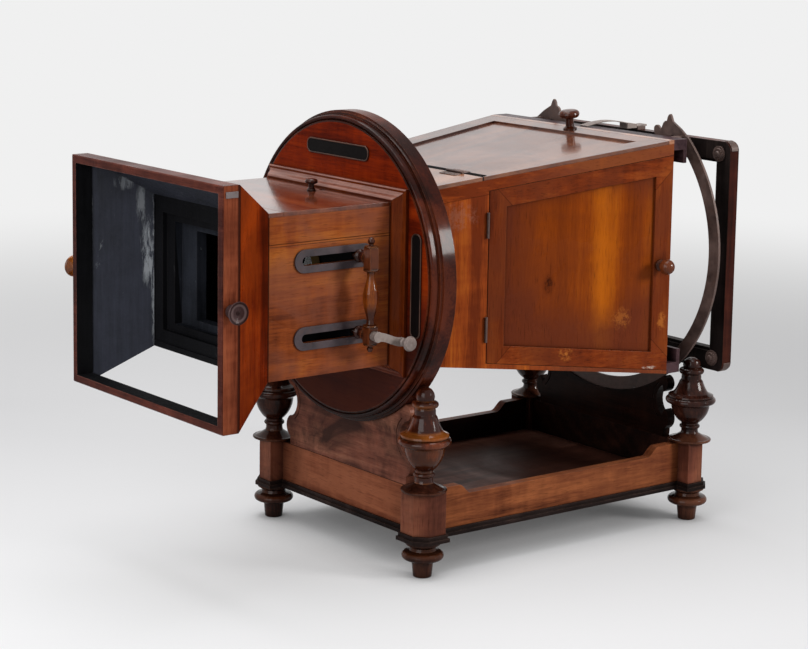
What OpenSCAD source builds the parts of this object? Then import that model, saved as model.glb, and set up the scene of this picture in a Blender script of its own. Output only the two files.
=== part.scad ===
// Table-top picture viewer: a hooded lens tube, a turning disc and a tapering picture box,
// carried on one axis by a four-post stand so that the whole viewer can make a quarter turn.
// X runs across, Y from the hood (-) to the rear frame (+), Z up; the feet stand on Z = 0
// and the origin is midway between the four posts.

/* [Stand] */
// Distance of each post's centre from the middle, across
post_x = 200; // [190:1:220]
// Width of a square post
post_w = 49.4; // [44:0.2:54]
// Length of the canted face on a post's outer corner
post_cant = 18; // [8:1:24]
// Height of a post
post_h = 67.7; // [60:0.5:80]
// Height of a turned foot
foot_h = 55.6; // [45:0.5:65]
// Radius of the bead round a foot
foot_r = 32.8; // [28:0.5:36]
// Height of the plinth moulding
plinth_h = 12; // [9:0.5:16]
// Reach of the plinth moulding beyond the rails and posts
plinth_step = 5; // [2:0.5:7]
// Thickness of the rails
rail_t = 16; // [12:1:20]
// Height of the front and rear rails
rail_h = 65.5; // [60:0.5:67]
// Height of the low middle stretch of the side rails
low_rail_h = 50; // [40:1:56]
// Thickness of the tray's floor board
tray_t = 10; // [6:1:14]
// Height of the round cap on a post
cap_h = 13; // [10:0.5:16]
// Radius of the round cap on a post
cap_r = 36; // [32:0.5:37]
// Distance from the disc's edge to the middle of a front finial's dome
finial_clear = 17.5; // [17:0.5:22]
// Distance from the hoop's edge to the middle of a rear finial's dome
rear_finial_clear = 11.8; // [11.6:0.2:16]
// Widest radius of a finial
finial_r = 41.5; // [36:0.5:42]
// Half-width of a cradle board at its ears
cradle_ear_x = 149; // [140:1:152]

/* [Turning axis] */
// Height of the hoop's lowest point above the end rails
seat_h = 56.9; // [54:0.1:64]
// Radius of the turning disc
disc_r = 246.4; // [244:0.2:247]
// Thickness of the disc, from its flat front to its back
disc_t = 41; // [36:1:50]
// Width of the moulded rim round the disc
rim_w = 17.4; // [14:0.2:22]
// Running clearance of the disc and the hoop in their cradles
turn_gap = 0.06; // [0.02:0.01:0.1]
// Outer radius of the iron hoop
hoop_r = 265; // [262:0.5:270]
// Width of the hoop's flat band
hoop_w = 22; // [18:1:26]
// Thickness of the hoop
hoop_t = 4; // [3:0.5:6]
// Length of the stand-offs between the box and the hoop
standoff_len = 39; // [36:0.5:44]
// Angle from the top at which the hoop's two ends stand
hoop_gap = 35; // [33:0.5:38]

/* [Lens tube] */
// Half-width of the tube
tube_x = 161; // [155:1:166]
// Half-height of the tube
tube_z = 125; // [118:1:130]
// Length of the tube in front of the disc
tube_len = 243; // [225:1:255]
// Thickness of the tube's walls
tube_wall = 9; // [7:0.5:12]
// Thickness of the tube's lid
tube_lid_t = 6; // [4:0.5:8]
// Width of the moulding round the tube's root
root_w = 19; // [15:0.5:21]
// Depth of the moulding at the tube
root_t = 20; // [14:1:24]
// Height of a focusing slot
slot_h = 13.6; // [12:0.2:16]
// Height of a slot plate
slot_plate_h = 35; // [30:0.5:40]
// Thickness of a slot plate
slot_plate_t = 2.5; // [1.5:0.1:3.5]
// Height of the upper slot's centre above the axis
slot_up = 49; // [46:1:54]
// Depth of the lower slot's centre below the axis
slot_down = 67; // [60:1:72]

/* [Hood] */
// Half-width of the hood's front frame
hood_x = 211; // [200:1:220]
// Half-height of the hood's front frame
hood_z = 179.3; // [170:0.5:186]
// Depth of the flared part
flare_len = 84.5; // [75:0.5:95]
// Depth of the front frame
hood_frame_t = 28.5; // [22:0.5:34]
// Width of the front frame's bars
hood_bar = 12; // [10:0.5:15]

/* [Picture box] */
// Length of the box behind the disc
box_len = 466.7; // [455:0.1:480]
// Half-width of the box at the disc
box_front_x = 150.6; // [146:0.2:156]
// Half-width of the box at its rear
box_rear_x = 223.6; // [218:0.2:228]
// Half-height of the box at the disc
box_front_z = 137.6; // [132:0.2:140]
// Half-height of the box at its rear
box_rear_z = 192.5; // [188:0.5:196]
// Thickness of the box's walls
box_wall = 14; // [11:0.5:17]
// Thickness of the top lid's frame
lid_t = 6; // [5:0.5:8]
// Distance from the disc to the front edge of a side door
door_start = 124.5; // [110:0.5:140]
// Distance from the disc to the front edge of the top lid
lid_start = 114; // [100:1:118]
// Depth of the picture channels
channel_slot = 21.8; // [18:0.2:26]
// Thickness of the channels' lips
channel_lip = 7; // [5:0.5:9]
// Height of the channels' lips
channel_h = 39; // [34:0.5:44]

/* [Rear frame] */
// Distance from the picture channels to the rear frame
frame_reach = 96.1; // [96:0.1:104]
// Thickness of the rear frame
frame_t = 20; // [16:1:24]
// Half-width of the rear frame
frame_x = 228; // [220:1:232]
// Half-height of the rear frame
frame_z = 193; // [186:1:196]
// Depth of the rear frame's centre below the axis
frame_drop = 12; // [8:1:14]
// Width of the rear frame's upright bars
frame_bar_x = 35; // [28:1:38]
// Width of the rear frame's level bars
frame_bar_z = 36; // [30:1:40]
// Radius of the rods that carry the frame
rod_r = 5; // [4:0.5:6]

/* [Hidden] */
$fn = 64;

// small gaps between pieces that move past each other
door_gap = 0.8;
fit_gap = 0.3;
rod_gap = 0.05;
keeper_t = 5;

// stand: its length follows the distance between the disc and the hoop that it carries
post_a = post_w / 2;
disc_inset = 2;
hoop_inset = 2.5;
rail_in_y = (box_len + channel_slot + channel_lip + standoff_len + disc_inset - hoop_inset) / 2;
rail_out_y = rail_in_y + rail_t;
post_y = rail_out_y + 1;
post_z0 = foot_h + plinth_h;
post_z1 = post_z0 + post_h;
cap_z1 = post_z1 + cap_h;
rail_out_x = post_x;
rail_top = post_z0 + rail_h;
ledge_w = 10;
rise_run = 24;
rise_inset = 46;
cradle_lobe_r = 20;
cradle_waist_r = 30;
cradle_ear_r = 14;
cradle_groove = 1.6;
finial_unit = 149.3;
dome_up = 134.6;

// turning parts
disc_back_y = disc_inset - rail_in_y;
axis_z = rail_top + seat_h + hoop_r;
hoop_y = rail_in_y + hoop_inset;
edge_share = 0.58;
disc_face_y = disc_back_y - disc_t;
disc_edge_y = disc_back_y - edge_share * disc_t;
face_r = disc_r - rim_w - 0.4;
light_x = 128;
light_z = 102;

// lens tube
tube_y0 = disc_face_y - tube_len;
tube_in_x = tube_x - tube_wall;
tube_in_z = tube_z - tube_wall;
tube_deck_z = tube_z - tube_lid_t;
tube_lid_y0 = tube_y0 + 27;
tube_lid_y1 = disc_face_y - root_t - 2;
slot_y0 = tube_y0 + 59;
slot_y1 = disc_face_y - 66;
plate_y0 = slot_y0 - 13;
plate_y1 = slot_y1 + 13;
plate_x = tube_x + slot_plate_t;
mouth_open = 67;

// lens carriage
carriage_y = disc_face_y - 80;
carriage_t = 14;
carriage_gap = 0.8;
arm_r = 5;
collar_r = 10;
handle_x = tube_x + 32;
block_w = 16;
upper_block_h = 33;
lower_block_h = 26;
lens_hole_r = 74;
lens_r = 64;
crank_arm = 46;
crank_drop = 12;
crank_t = 5;
boss_t = 8;

// hood
hood_y1 = tube_y0 - flare_len;
hood_y0 = hood_y1 - hood_frame_t;

// picture box
box_rear_y = disc_back_y + box_len;
door_y0 = disc_back_y + door_start;
lid_y0 = disc_back_y + lid_start;
lid_y1 = box_rear_y - 10.5;
lid_bar = 40;
lid_rear_bar = 28.8;
lid_recess = 3.5;
lid_panel_t = 6;
door_top_front = 129;
door_top_rear = 168;
door_bot_front = 144.5;
door_bot_rear = 187;
door_bar = 32;
door_rail = 30;
door_recess = 4;
door_panel_t = 8;
knuckle_r = 2.2;
knuckle_len = 40;
hinge_up = 75;
hinge_down = 90;
lid_hinge_x = 101;
channel_y1 = box_rear_y + channel_slot;
lip_y1 = channel_y1 + channel_lip;

// rear frame
frame_y = lip_y1 + frame_reach;
rod_depth = 12;
frame_corner = 15;
frame_c = axis_z - frame_drop;
frame_top = frame_c + frame_z;
strap_end_z = frame_top + keeper_t + fit_gap;
strap_w = 18;
rod_up = box_rear_z - 25.5;
rod_down = box_rear_z - 9.5;
rod_clear = 12.6;
rod_x = sqrt(pow(hoop_r - hoop_w - rod_clear, 2) - pow(rod_down, 2));
rod_end_y = frame_y + rod_depth;
button_x = 204;
button_z = 172;
standoff_r = 4;
standoff_z = box_rear_z - 6;
standoff_x = sqrt(pow(hoop_r - hoop_w / 2, 2) - pow(standoff_z, 2));

// Half-width and half-height of the box at a place along Y
function box_x(y) = box_front_x + (box_rear_x - box_front_x) * (y - disc_back_y) / box_len;
function box_z(y) = box_front_z + (box_rear_z - box_front_z) * (y - disc_back_y) / box_len;
function door_top(y) =
    door_top_front + (door_top_rear - door_top_front) * (y - door_y0) / (box_rear_y - door_y0);
function door_bot(y) =
    -door_bot_front - (door_bot_rear - door_bot_front) * (y - door_y0) / (box_rear_y - door_y0);
box_plan_angle = atan((box_rear_x - box_front_x) / box_len);

// Points of a circular arc about a centre
function arc(c, r, a0, a1, n = 8) =
    [for (i = [0:n]) let (a = a0 + (a1 - a0) * i / n) [c[0] + r * cos(a), c[1] + r * sin(a)]];

// ---------- helpers ----------

// A board drawn in the YZ plane and as thick in X as from x0 to x1
module slab_x(x0, x1) {
    translate([x0, 0, 0]) rotate([90, 0, 90]) linear_extrude(x1 - x0) children();
}

// A board drawn in the XZ plane and as thick in Y as from y0 to y1
module slab_y(y0, y1) {
    translate([0, y1, 0]) rotate([90, 0, 0]) linear_extrude(y1 - y0) children();
}

// A turned piece about a line along X that starts at a place on a surface
module turned_x(profile) {
    rotate([0, 90, 0]) rotate_extrude() polygon(profile);
}

// Draws its children at the four posts, mirrored so that outer corners stay outer
module at_posts(sides = [-1, 1], ends = [-1, 1]) {
    for (sx = sides, sy = ends)
        translate([sx * post_x, sy * post_y, 0]) mirror([sx < 0 ? 1 : 0, 0, 0])
            mirror([0, sy < 0 ? 1 : 0, 0]) children();
}

// Plan of a post with its outer corner canted, grown by a step
module post_plan(step = 0) {
    a = post_a + step;
    polygon([[-a, -a], [a, -a], [a, a - post_cant], [a - post_cant, a], [-a, a]]);
}

// Rectangular frame in the XZ plane with mitred bars; section runs over [across the bar, Y]
module mitred_frame(hx, hz, section, width) {
    for (q = [[0, hx, hz], [90, hz, hx], [180, hx, hz], [270, hz, hx]])
        rotate([0, q[0], 0]) intersection() {
            translate([q[1], 0, -q[2] - 1]) linear_extrude(2 * q[2] + 2) polygon(section);
            slab_y(-500, 500) polygon([[q[1] + 1, q[2] + 1], [q[1] - width, q[2] - width],
                [q[1] - width, -q[2] + width], [q[1] + 1, -q[2] - 1]]);
        }
}

// Turned knob standing along +Z on its seat
module knob(foot, neck, head, height) {
    rotate_extrude() polygon(concat([[0, 0], [foot, 0], [foot, 2], [neck, 5], [neck, height * 0.55]],
        arc([head - height * 0.2, height * 0.78], height * 0.2, -80, 80, 6), [[0, height]]));
}

// ---------- stand ----------

module floor_board() {
    x = rail_out_x - rail_t;
    y = rail_out_y - rail_t;
    color("saddlebrown") difference() {
        translate([-x, -y, post_z0]) cube([2 * x, 2 * y, tray_t]);
        at_posts() translate([0, 0, post_z0 - 1]) linear_extrude(tray_t + 2) post_plan();
    }
}

module plinth_moulding() {
    step_h = plinth_h / 2;
    color("#32282a") for (s = [[0, plinth_step, step_h], [step_h, plinth_step / 2, plinth_h]])
        translate([0, 0, foot_h + s[0]]) linear_extrude(s[2] - s[0]) difference() {
            union() {
                square([2 * (rail_out_x + s[1]), 2 * post_y], center = true);
                square([2 * post_x, 2 * (rail_out_y + s[1])], center = true);
                at_posts() post_plan(s[1]);
            }
            square([2 * (rail_out_x - rail_t - ledge_w), 2 * (rail_out_y - rail_t - ledge_w)],
                center = true);
        }
}

module end_rail(side) {
    x = post_x - post_a;
    y = side * (rail_out_y - rail_t / 2);
    color("#5a2b17") translate([-x, y - rail_t / 2, post_z0]) cube([2 * x, rail_t, rail_h]);
}
module front_rail() { end_rail(-1); }
module rear_rail() { end_rail(1); }

// Side rail: high at both ends, falling by an ogee to a long low middle
module side_rail(side) {
    y1 = post_y - post_a;
    ya = y1 - rise_inset;
    h = rail_h;
    rise = (h - low_rail_h) / 2;
    ogee = [for (i = [0:12]) let (t = i / 12) [ya - rise_run * (1 - t),
        post_z0 + low_rail_h + rise * (1 - cos(180 * t))]];
    half = concat(ogee, [[y1, post_z0 + h], [y1, post_z0]]);
    x = side * (rail_out_x - rail_t / 2);
    color("#5a2b17") slab_x(x - rail_t / 2, x + rail_t / 2)
        polygon(concat(half, [for (i = [len(half) - 1:-1:0]) [-half[i][0], half[i][1]]]));
}
module left_rail() { side_rail(-1); }
module right_rail() { side_rail(1); }

module corner_posts() {
    color("#5a2b17") at_posts() translate([0, 0, post_z0]) linear_extrude(post_h) post_plan();
}

module post_caps() {
    neck = 15;
    color("#46241a") at_posts() translate([0, 0, post_z1]) rotate_extrude() polygon(concat(
        [[0, 0], [cap_r - 1, 0]], arc([cap_r - 2, 2], 2, -60, 90, 4),
        [for (i = [0:6]) let (t = i / 6) [cap_r - 4 - (cap_r - 4 - neck) * t,
            4 + (cap_h - 4) * (1 - cos(90 * t)) * 0.35 + (cap_h - 4) * 0.65 * t]],
        [[0, cap_h]]));
}

// Turned finial, stretched by k: neck, bead, bowl, wide torus, bell, neck, ring and dome
module finial(k) {
    bead = 5.4;
    color("#7a4018") rotate_extrude() polygon(concat(
        [[0, 0], [15, 0], [13.8, 4 * k], [13.8, 9 * k]],
        arc([13.4, 13.2 * k], 3.6, -80, 80, 6),
        [[14, 20 * k]],
        [for (i = [1:8]) let (t = i / 8) [14 + 17.6 * sin(90 * t), (20 + 36 * pow(t, 1.25)) * k]],
        arc([finial_r - bead, 65.5 * k], bead, -90, 90, 8),
        [[37.5, 73 * k], [37, 76 * k], [33.5, 77.5 * k]],
        [for (i = [1:7]) let (t = i / 7) [33.5 - 13 * pow(t, 0.62), (77.5 + 21 * pow(t, 1.15)) * k]],
        [[19.2, 103 * k], [16.5, 107 * k], [16.4, 114 * k]],
        arc([15.8, 122.5 * k], 5, -90, 90, 8),
        [[13.6, 128.4 * k]],
        arc([0, dome_up * k], 14.6, -6, 30, 4),
        [[9.6, 146 * k], [5.2, 148.7 * k], [0, finial_unit * k]]));
}
// Stretch that keeps a dome's middle at a distance from the axis
function finial_stretch(reach) = (axis_z - sqrt(pow(reach, 2) - pow(post_x, 2)) - cap_z1) / dome_up;
module front_finials() {
    at_posts(ends = [-1]) translate([0, 0, cap_z1]) finial(finial_stretch(disc_r + finial_clear));
}
module rear_finials() {
    at_posts(ends = [1]) translate([0, 0, cap_z1])
        finial(finial_stretch(hoop_r + rear_finial_clear));
}

module feet() {
    bead = 6.6;
    ring_z = foot_h * 0.61;
    color("#4c2a1c") at_posts() rotate_extrude() polygon(concat(
        [[0, 0], [13.5, 0], [14.6, 1], [16.8, ring_z - bead - 4], [20, ring_z - bead]],
        arc([foot_r - bead, ring_z], bead, -90, 90, 8),
        [[21, ring_z + bead + 1.5], [19.5, foot_h - 9], [27, foot_h - 4], [27, foot_h],
        [0, foot_h]]));
}

// Cradle board: scrolled outline with a concave seat for a round part of the given radius
module cradle(side, seat_r) {
    ear_c = [cradle_ear_x,
        axis_z - sqrt(pow(seat_r + 10, 2) - pow(cradle_ear_x, 2))];
    lobe_c = [cradle_ear_x - 3, rail_top + 31];
    waist_c = [cradle_ear_x + 17, (ear_c[1] + lobe_c[1]) / 2 + 2];
    half = concat([[cradle_ear_x + 5, rail_top]],
        arc(lobe_c, cradle_lobe_r, -62, 58), arc(waist_c, cradle_waist_r, 238, 122),
        arc(ear_c, cradle_ear_r, -72, 90));
    groove_r = cradle_waist_r + 7;
    y0 = side * (rail_out_y - rail_t / 2) - rail_t / 2;
    color("#4a2618") difference() {
        slab_y(y0, y0 + rail_t) difference() {
            polygon(concat(half, [for (i = [len(half) - 1:-1:0]) [-half[i][0], half[i][1]]]));
            translate([0, axis_z]) circle(r = seat_r + turn_gap, $fn = 180);
        }
        for (s = [-1, 1])
            slab_y(y0 - 1, y0 + cradle_groove) polygon(concat(
                [for (p = arc(waist_c, groove_r, 232, 128)) [s * p[0], p[1]]],
                [for (p = arc(waist_c, groove_r + cradle_groove, 128, 232)) [s * p[0], p[1]]]));
    }
}
module front_cradle() { cradle(-1, disc_r); }
module rear_cradle() { cradle(1, hoop_r); }

// ---------- turning parts ----------

module turning_disc() {
    color("#7a2c12") difference() {
        translate([0, disc_back_y, axis_z]) rotate([90, 0, 0]) cylinder(r = face_r, h = disc_t, $fn = 180);
        translate([-light_x, disc_face_y - 1, axis_z - light_z])
            cube([2 * light_x, disc_t + 2, 2 * light_z]);
    }
}

// Moulded rim: back edge that runs in the cradle, step, bead and cove up to the flat face
module disc_rim() {
    t = disc_t;
    edge = disc_back_y - disc_edge_y;
    bead_r = 3.4;
    color("#5a2317") translate([0, disc_back_y, axis_z]) rotate([90, 0, 0])
        rotate_extrude($fn = 180) polygon(concat(
            [[face_r, 0], [disc_r, 0], [disc_r, edge], [disc_r - 3, edge + 1.2],
            [disc_r - 3.4, edge + 4.4], [disc_r - 7, edge + 5]],
            arc([disc_r - 10.4, t - 3.6], bead_r, -10, 150, 8),
            [[disc_r - 14.6, t - 3.2], [disc_r - 15.4, t - 0.6], [face_r, t]]));
}

module root_moulding() {
    section = [[0, 0], [0, -6], [-2, -7], [-5, -7.4], [-8, -9.2], [-10.5, -12.5], [-12.5, -16.5],
        [-14, -root_t + 1.5], [-16, -root_t], [-root_w, -root_t], [-root_w, 0]];
    color("#76391c") translate([0, disc_face_y, axis_z])
        mitred_frame(tube_x + root_w, tube_z + root_w, section, root_w);
}

// Round-ended bare plate lying on the disc's face
module bare_plate(length, height, t) {
    r = height * 0.42;
    slab_y(-t, 0) difference() {
        square([length, height], center = true);
        for (sx = [-1, 1], sz = [-1, 1])
            translate([sx * length / 2, sz * height / 2]) mirror([sx > 0 ? 1 : 0, 0])
                mirror([0, sz > 0 ? 1 : 0]) difference() {
                    translate([-1, -1]) square(r + 1);
                    translate([r, r]) circle(r);
                }
    }
}
module bare_plates() {
    plate_l = 158;
    plate_h = 22;
    t = 2;
    top_gap = 32;
    side_gap = 10.5;
    color("#17120f") {
        translate([0, disc_face_y, axis_z + tube_z + root_w + top_gap + plate_h / 2])
            bare_plate(plate_l, plate_h, t);
        translate([tube_x + root_w + side_gap + plate_h / 2, disc_face_y, axis_z])
            rotate([0, 90, 0]) bare_plate(plate_l, plate_h, t);
    }
}

// ---------- lens tube ----------

// Focusing slot in the YZ plane, grown by a margin
module slot_shape(z, margin = 0) {
    r = slot_h / 2 + margin;
    for (y = [slot_y0 + slot_h / 2, slot_y1 - slot_h / 2]) translate([y, z]) circle(r);
    translate([slot_y0 + slot_h / 2, z - r]) square([slot_y1 - slot_y0 - slot_h, 2 * r]);
}

module tube_side(side) {
    x0 = side < 0 ? -tube_x : tube_in_x;
    joint_z = axis_z + tube_z * 0.59;
    color("#8a4c28") difference() {
        slab_x(x0, x0 + tube_wall) difference() {
            translate([tube_y0, axis_z - tube_z]) square([tube_len, tube_z + tube_deck_z]);
            if (side > 0) {
                slot_shape(axis_z + slot_up, 0.4);
                slot_shape(axis_z - slot_down, 0.4);
            }
        }
        translate([side * tube_x - 0.8, tube_y0 - 1, joint_z]) cube([1.6, tube_len + 2, 1]);
    }
}
module tube_left() { tube_side(-1); }
module tube_right() { tube_side(1); }

// Deck under the lid, with the strips in front of and behind the lid
module tube_top() {
    hatch_x = 96;
    hatch_y = 60;
    mid_y = (tube_lid_y0 + tube_lid_y1) / 2;
    color("#8a4c28") {
        difference() {
            translate([-tube_in_x, tube_y0, axis_z + tube_deck_z - tube_wall])
                cube([2 * tube_in_x, tube_len, tube_wall]);
            translate([-hatch_x, mid_y - hatch_y, axis_z]) cube([2 * hatch_x, 2 * hatch_y, tube_z]);
        }
        translate([-tube_x, tube_y0, axis_z + tube_deck_z])
            cube([2 * tube_x, tube_lid_y0 - door_gap - tube_y0, tube_lid_t]);
        translate([-tube_x, tube_lid_y1 + door_gap, axis_z + tube_deck_z])
            cube([2 * tube_x, disc_face_y - tube_lid_y1 - door_gap, tube_lid_t]);
    }
}

module tube_floor() {
    color("#8a4c28") translate([-tube_in_x, tube_y0, axis_z - tube_z])
        cube([2 * tube_in_x, tube_len, tube_wall]);
}

// Stepped dark frame inside the tube's mouth, down to a square opening
module mouth_frame() {
    top = tube_deck_z - tube_wall;
    steps = [[2, 10, 22, 20], [10, 24, 44, 32], [24, 42, tube_in_x - mouth_open,
        top - mouth_open]];
    color("#22242c") for (s = steps)
        slab_y(tube_y0 + s[0], tube_y0 + s[1]) difference() {
            translate([-tube_in_x, axis_z - tube_in_z]) square([2 * tube_in_x, tube_in_z + top]);
            translate([-tube_in_x + s[2], axis_z - tube_in_z + s[3]])
                square([2 * (tube_in_x - s[2]), tube_in_z + top - 2 * s[3]]);
        }
}

module slot_plates() {
    color("#50414a") for (z = [axis_z + slot_up, axis_z - slot_down])
        slab_x(tube_x, plate_x) difference() {
            union() {
                r = slot_plate_h / 2;
                for (y = [plate_y0 + r, plate_y1 - r]) translate([y, z]) circle(r);
                translate([plate_y0 + r, z - r]) square([plate_y1 - plate_y0 - 2 * r, 2 * r]);
            }
            slot_shape(z);
        }
}

// ---------- hood ----------

// Plan or side outline of the flare, in from its outer faces by a wall
module flare_outline(front, rear, wall) {
    polygon([[-front + wall, hood_y1], [front - wall, hood_y1],
        [rear - wall, tube_y0], [-rear + wall, tube_y0]]);
}
module flare_block(wall_x, wall_z) {
    intersection() {
        translate([0, 0, axis_z - hood_z - 5]) linear_extrude(2 * hood_z + 10)
            flare_outline(hood_x, tube_x, wall_x);
        translate([-hood_x - 5, 0, axis_z]) rotate([90, 0, 90]) linear_extrude(2 * hood_x + 10)
            mirror([1, -1]) flare_outline(hood_z, tube_z, wall_z);
    }
}
module flare_side(side) {
    color("#76290f") difference() {
        flare_block(0, 0);
        translate([0, 0, axis_z - hood_z - 6]) linear_extrude(2 * hood_z + 12) {
            flare_outline(hood_x, tube_x, tube_wall);
            translate([side > 0 ? -hood_x : 0, hood_y1]) square([hood_x, flare_len]);
        }
    }
}
module flare_left() { flare_side(-1); }
module flare_right() { flare_side(1); }

module flare_top() {
    color("#76290f") difference() {
        flare_block(tube_wall, 0);
        translate([-hood_x, 0, axis_z]) rotate([90, 0, 90]) linear_extrude(2 * hood_x)
            mirror([1, -1]) flare_outline(hood_z, tube_z, tube_wall);
        translate([-hood_x, hood_y1 - 1, axis_z - hood_z - 1])
            cube([2 * hood_x, flare_len + 2, hood_z + 1]);
    }
}

module hood_frame() {
    section = [[0, 0], [0, -hood_frame_t + 1.5], [-1.5, -hood_frame_t], [-hood_bar, -hood_frame_t],
        [-hood_bar, 0]];
    color("#5c2a18") translate([0, hood_y1, axis_z])
        mitred_frame(hood_x, hood_z, section, hood_bar);
}

module hood_knobs() {
    y = (hood_y0 + hood_y1) / 2;
    r = 17;
    color("#4a2a20") for (s = [-1, 1])
        translate([s * hood_x, y, axis_z]) rotate([0, s * 90, 0]) rotate_extrude() polygon(concat(
            [[0, 0], [9.5, 0], [9.5, 1.8], [6.4, 4], [6, 9], [7.4, 12.5], [12, 15.6], [r - 1.2, 17.6]],
            arc([r - 1.6, 19.6], 1.6, -60, 110, 5),
            [[12.4, 20.2], [7, 18.8], [3, 18.4], [2.8, 19.6], [0, 20]]));
    color("#807a78") translate([hood_x, hood_y0 + 5, axis_z + hood_z - 18])
        cube([1, hood_frame_t - 8, 9]);
}

// ---------- picture box ----------

// Plan of the box between two places along Y, in from its sides by a wall
module box_plan(y0, y1, wall) {
    polygon([[-box_x(y0) + wall, y0], [box_x(y0) - wall, y0],
        [box_x(y1) - wall, y1], [-box_x(y1) + wall, y1]]);
}

// Layer of the box under its sloping top, between two depths below that top
module top_layer(y0, y1, wall, depth0, depth1) {
    intersection() {
        translate([0, 0, axis_z]) linear_extrude(2 * box_rear_z) box_plan(y0, y1, wall);
        slab_x(-box_rear_x - 5, box_rear_x + 5) polygon([
            [y0, axis_z + box_z(y0) - depth0], [y1, axis_z + box_z(y1) - depth0],
            [y1, axis_z + box_z(y1) - depth1], [y0, axis_z + box_z(y0) - depth1]]);
    }
}

// Side wall: a fixed strip in front and thin rails above and below the door
module box_side(side) {
    y0 = disc_back_y;
    y1 = box_rear_y;
    color("#7c3c1c") difference() {
        intersection() {
            translate([0, 0, axis_z - box_rear_z - 5]) linear_extrude(2 * box_rear_z + 10)
                difference() {
                    box_plan(y0, y1, 0);
                    box_plan(y0 - 1, y1 + 1, box_wall);
                    translate([side > 0 ? -box_rear_x - 1 : 0, y0 - 1])
                        square([box_rear_x + 1, box_len + 2]);
                }
            slab_x(-box_rear_x - 5, box_rear_x + 5) polygon([
                [y0, axis_z - box_z(y0)], [y1, axis_z - box_z(y1)],
                [y1, axis_z + box_z(y1) - lid_t], [y0, axis_z + box_z(y0) - lid_t]]);
        }
        slab_x(-box_rear_x - 5, box_rear_x + 5) polygon([
            [door_y0, axis_z + door_bot(door_y0)], [y1 + 1, axis_z + door_bot(y1 + 1)],
            [y1 + 1, axis_z + door_top(y1 + 1)], [door_y0, axis_z + door_top(door_y0)]]);
    }
}
module box_left() { box_side(-1); }
module box_right() { box_side(1); }

module box_floor() {
    y0 = disc_back_y;
    y1 = box_rear_y;
    color("#6a3218") intersection() {
        translate([0, 0, axis_z - box_rear_z - 5]) linear_extrude(box_rear_z)
            box_plan(y0, y1, box_wall);
        slab_x(-box_rear_x, box_rear_x) polygon([
            [y0, axis_z - box_z(y0)], [y1, axis_z - box_z(y1)],
            [y1, axis_z - box_z(y1) + box_wall], [y0, axis_z - box_z(y0) + box_wall]]);
    }
}

// Fixed board in front of the lid and cross strip behind it, each with a rail beneath
module box_top() {
    color("#6a3218") {
        top_layer(disc_back_y, lid_y0 - door_gap, 0, 0, lid_t);
        top_layer(disc_back_y, lid_y0 + 12, box_wall, lid_t, lid_t + box_wall);
        top_layer(lid_y1 + door_gap, box_rear_y, 0, 0, lid_t);
        top_layer(lid_y1 - 8, box_rear_y, box_wall, lid_t, lid_t + box_wall);
    }
}

// Channel for the edge of a picture: back, lip and a web at the top or the bottom
module channel(side) {
    outer = box_rear_z;
    web = 17;
    x = box_rear_x;
    color("#45403f") translate([0, 0, axis_z]) mirror([0, 0, side > 0 ? 0 : 1])
        slab_x(-x, x) polygon([[box_rear_y, outer], [lip_y1, outer], [lip_y1, outer - channel_h],
            [channel_y1, outer - channel_h], [channel_y1, outer - web], [box_rear_y, outer - web]]);
}
module top_channel() { channel(1); }
module bottom_channel() { channel(-1); }

// Knuckles of the door and lid hinges
module box_hinges() {
    color("#3a3430") {
        for (s = [-1, 1], z = [axis_z + hinge_up, axis_z - hinge_down])
            translate([s * (box_x(door_y0) + knuckle_r), door_y0 - knuckle_r, z - knuckle_len / 2])
                cylinder(r = knuckle_r, h = knuckle_len);
        for (s = [-1, 1])
            translate([s * lid_hinge_x - knuckle_len / 2, lid_y0 - knuckle_r,
                axis_z + box_z(lid_y0 - knuckle_r) + knuckle_r]) rotate([0, 90, 0])
                cylinder(r = knuckle_r, h = knuckle_len);
    }
}

module lid_frame() {
    color("#6e3419") difference() {
        top_layer(lid_y0, lid_y1, 0, 0, lid_t - fit_gap);
        top_layer(lid_y0 + lid_bar, lid_y1 - lid_rear_bar, lid_bar, -1, lid_t + 1);
    }
}
module lid_panel() {
    y0 = lid_y0 + lid_bar;
    y1 = lid_y1 - lid_rear_bar;
    color("#7c4325") top_layer(y0, y1, lid_bar, lid_recess, lid_recess + lid_panel_t);
}
module lid_knob() {
    y = lid_y1 - 12;
    color("#4f2312") translate([0, y, axis_z + box_z(y)])
        rotate([atan((box_rear_z - box_front_z) / box_len), 0, 0]) knob(11.5, 7, 17.5, 33);
}

// Prism between two slanted lines in the YZ plane, as tall as the door less an inset
module door_prism(y0, y1, inset, gap) {
    slab_x(-box_rear_x - 5, box_rear_x + 5) polygon([
        [y0, axis_z + door_bot(y0) + inset + gap], [y1, axis_z + door_bot(y1) + inset + gap],
        [y1, axis_z + door_top(y1) - inset - gap], [y0, axis_z + door_top(y0) - inset - gap]]);
}
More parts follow.
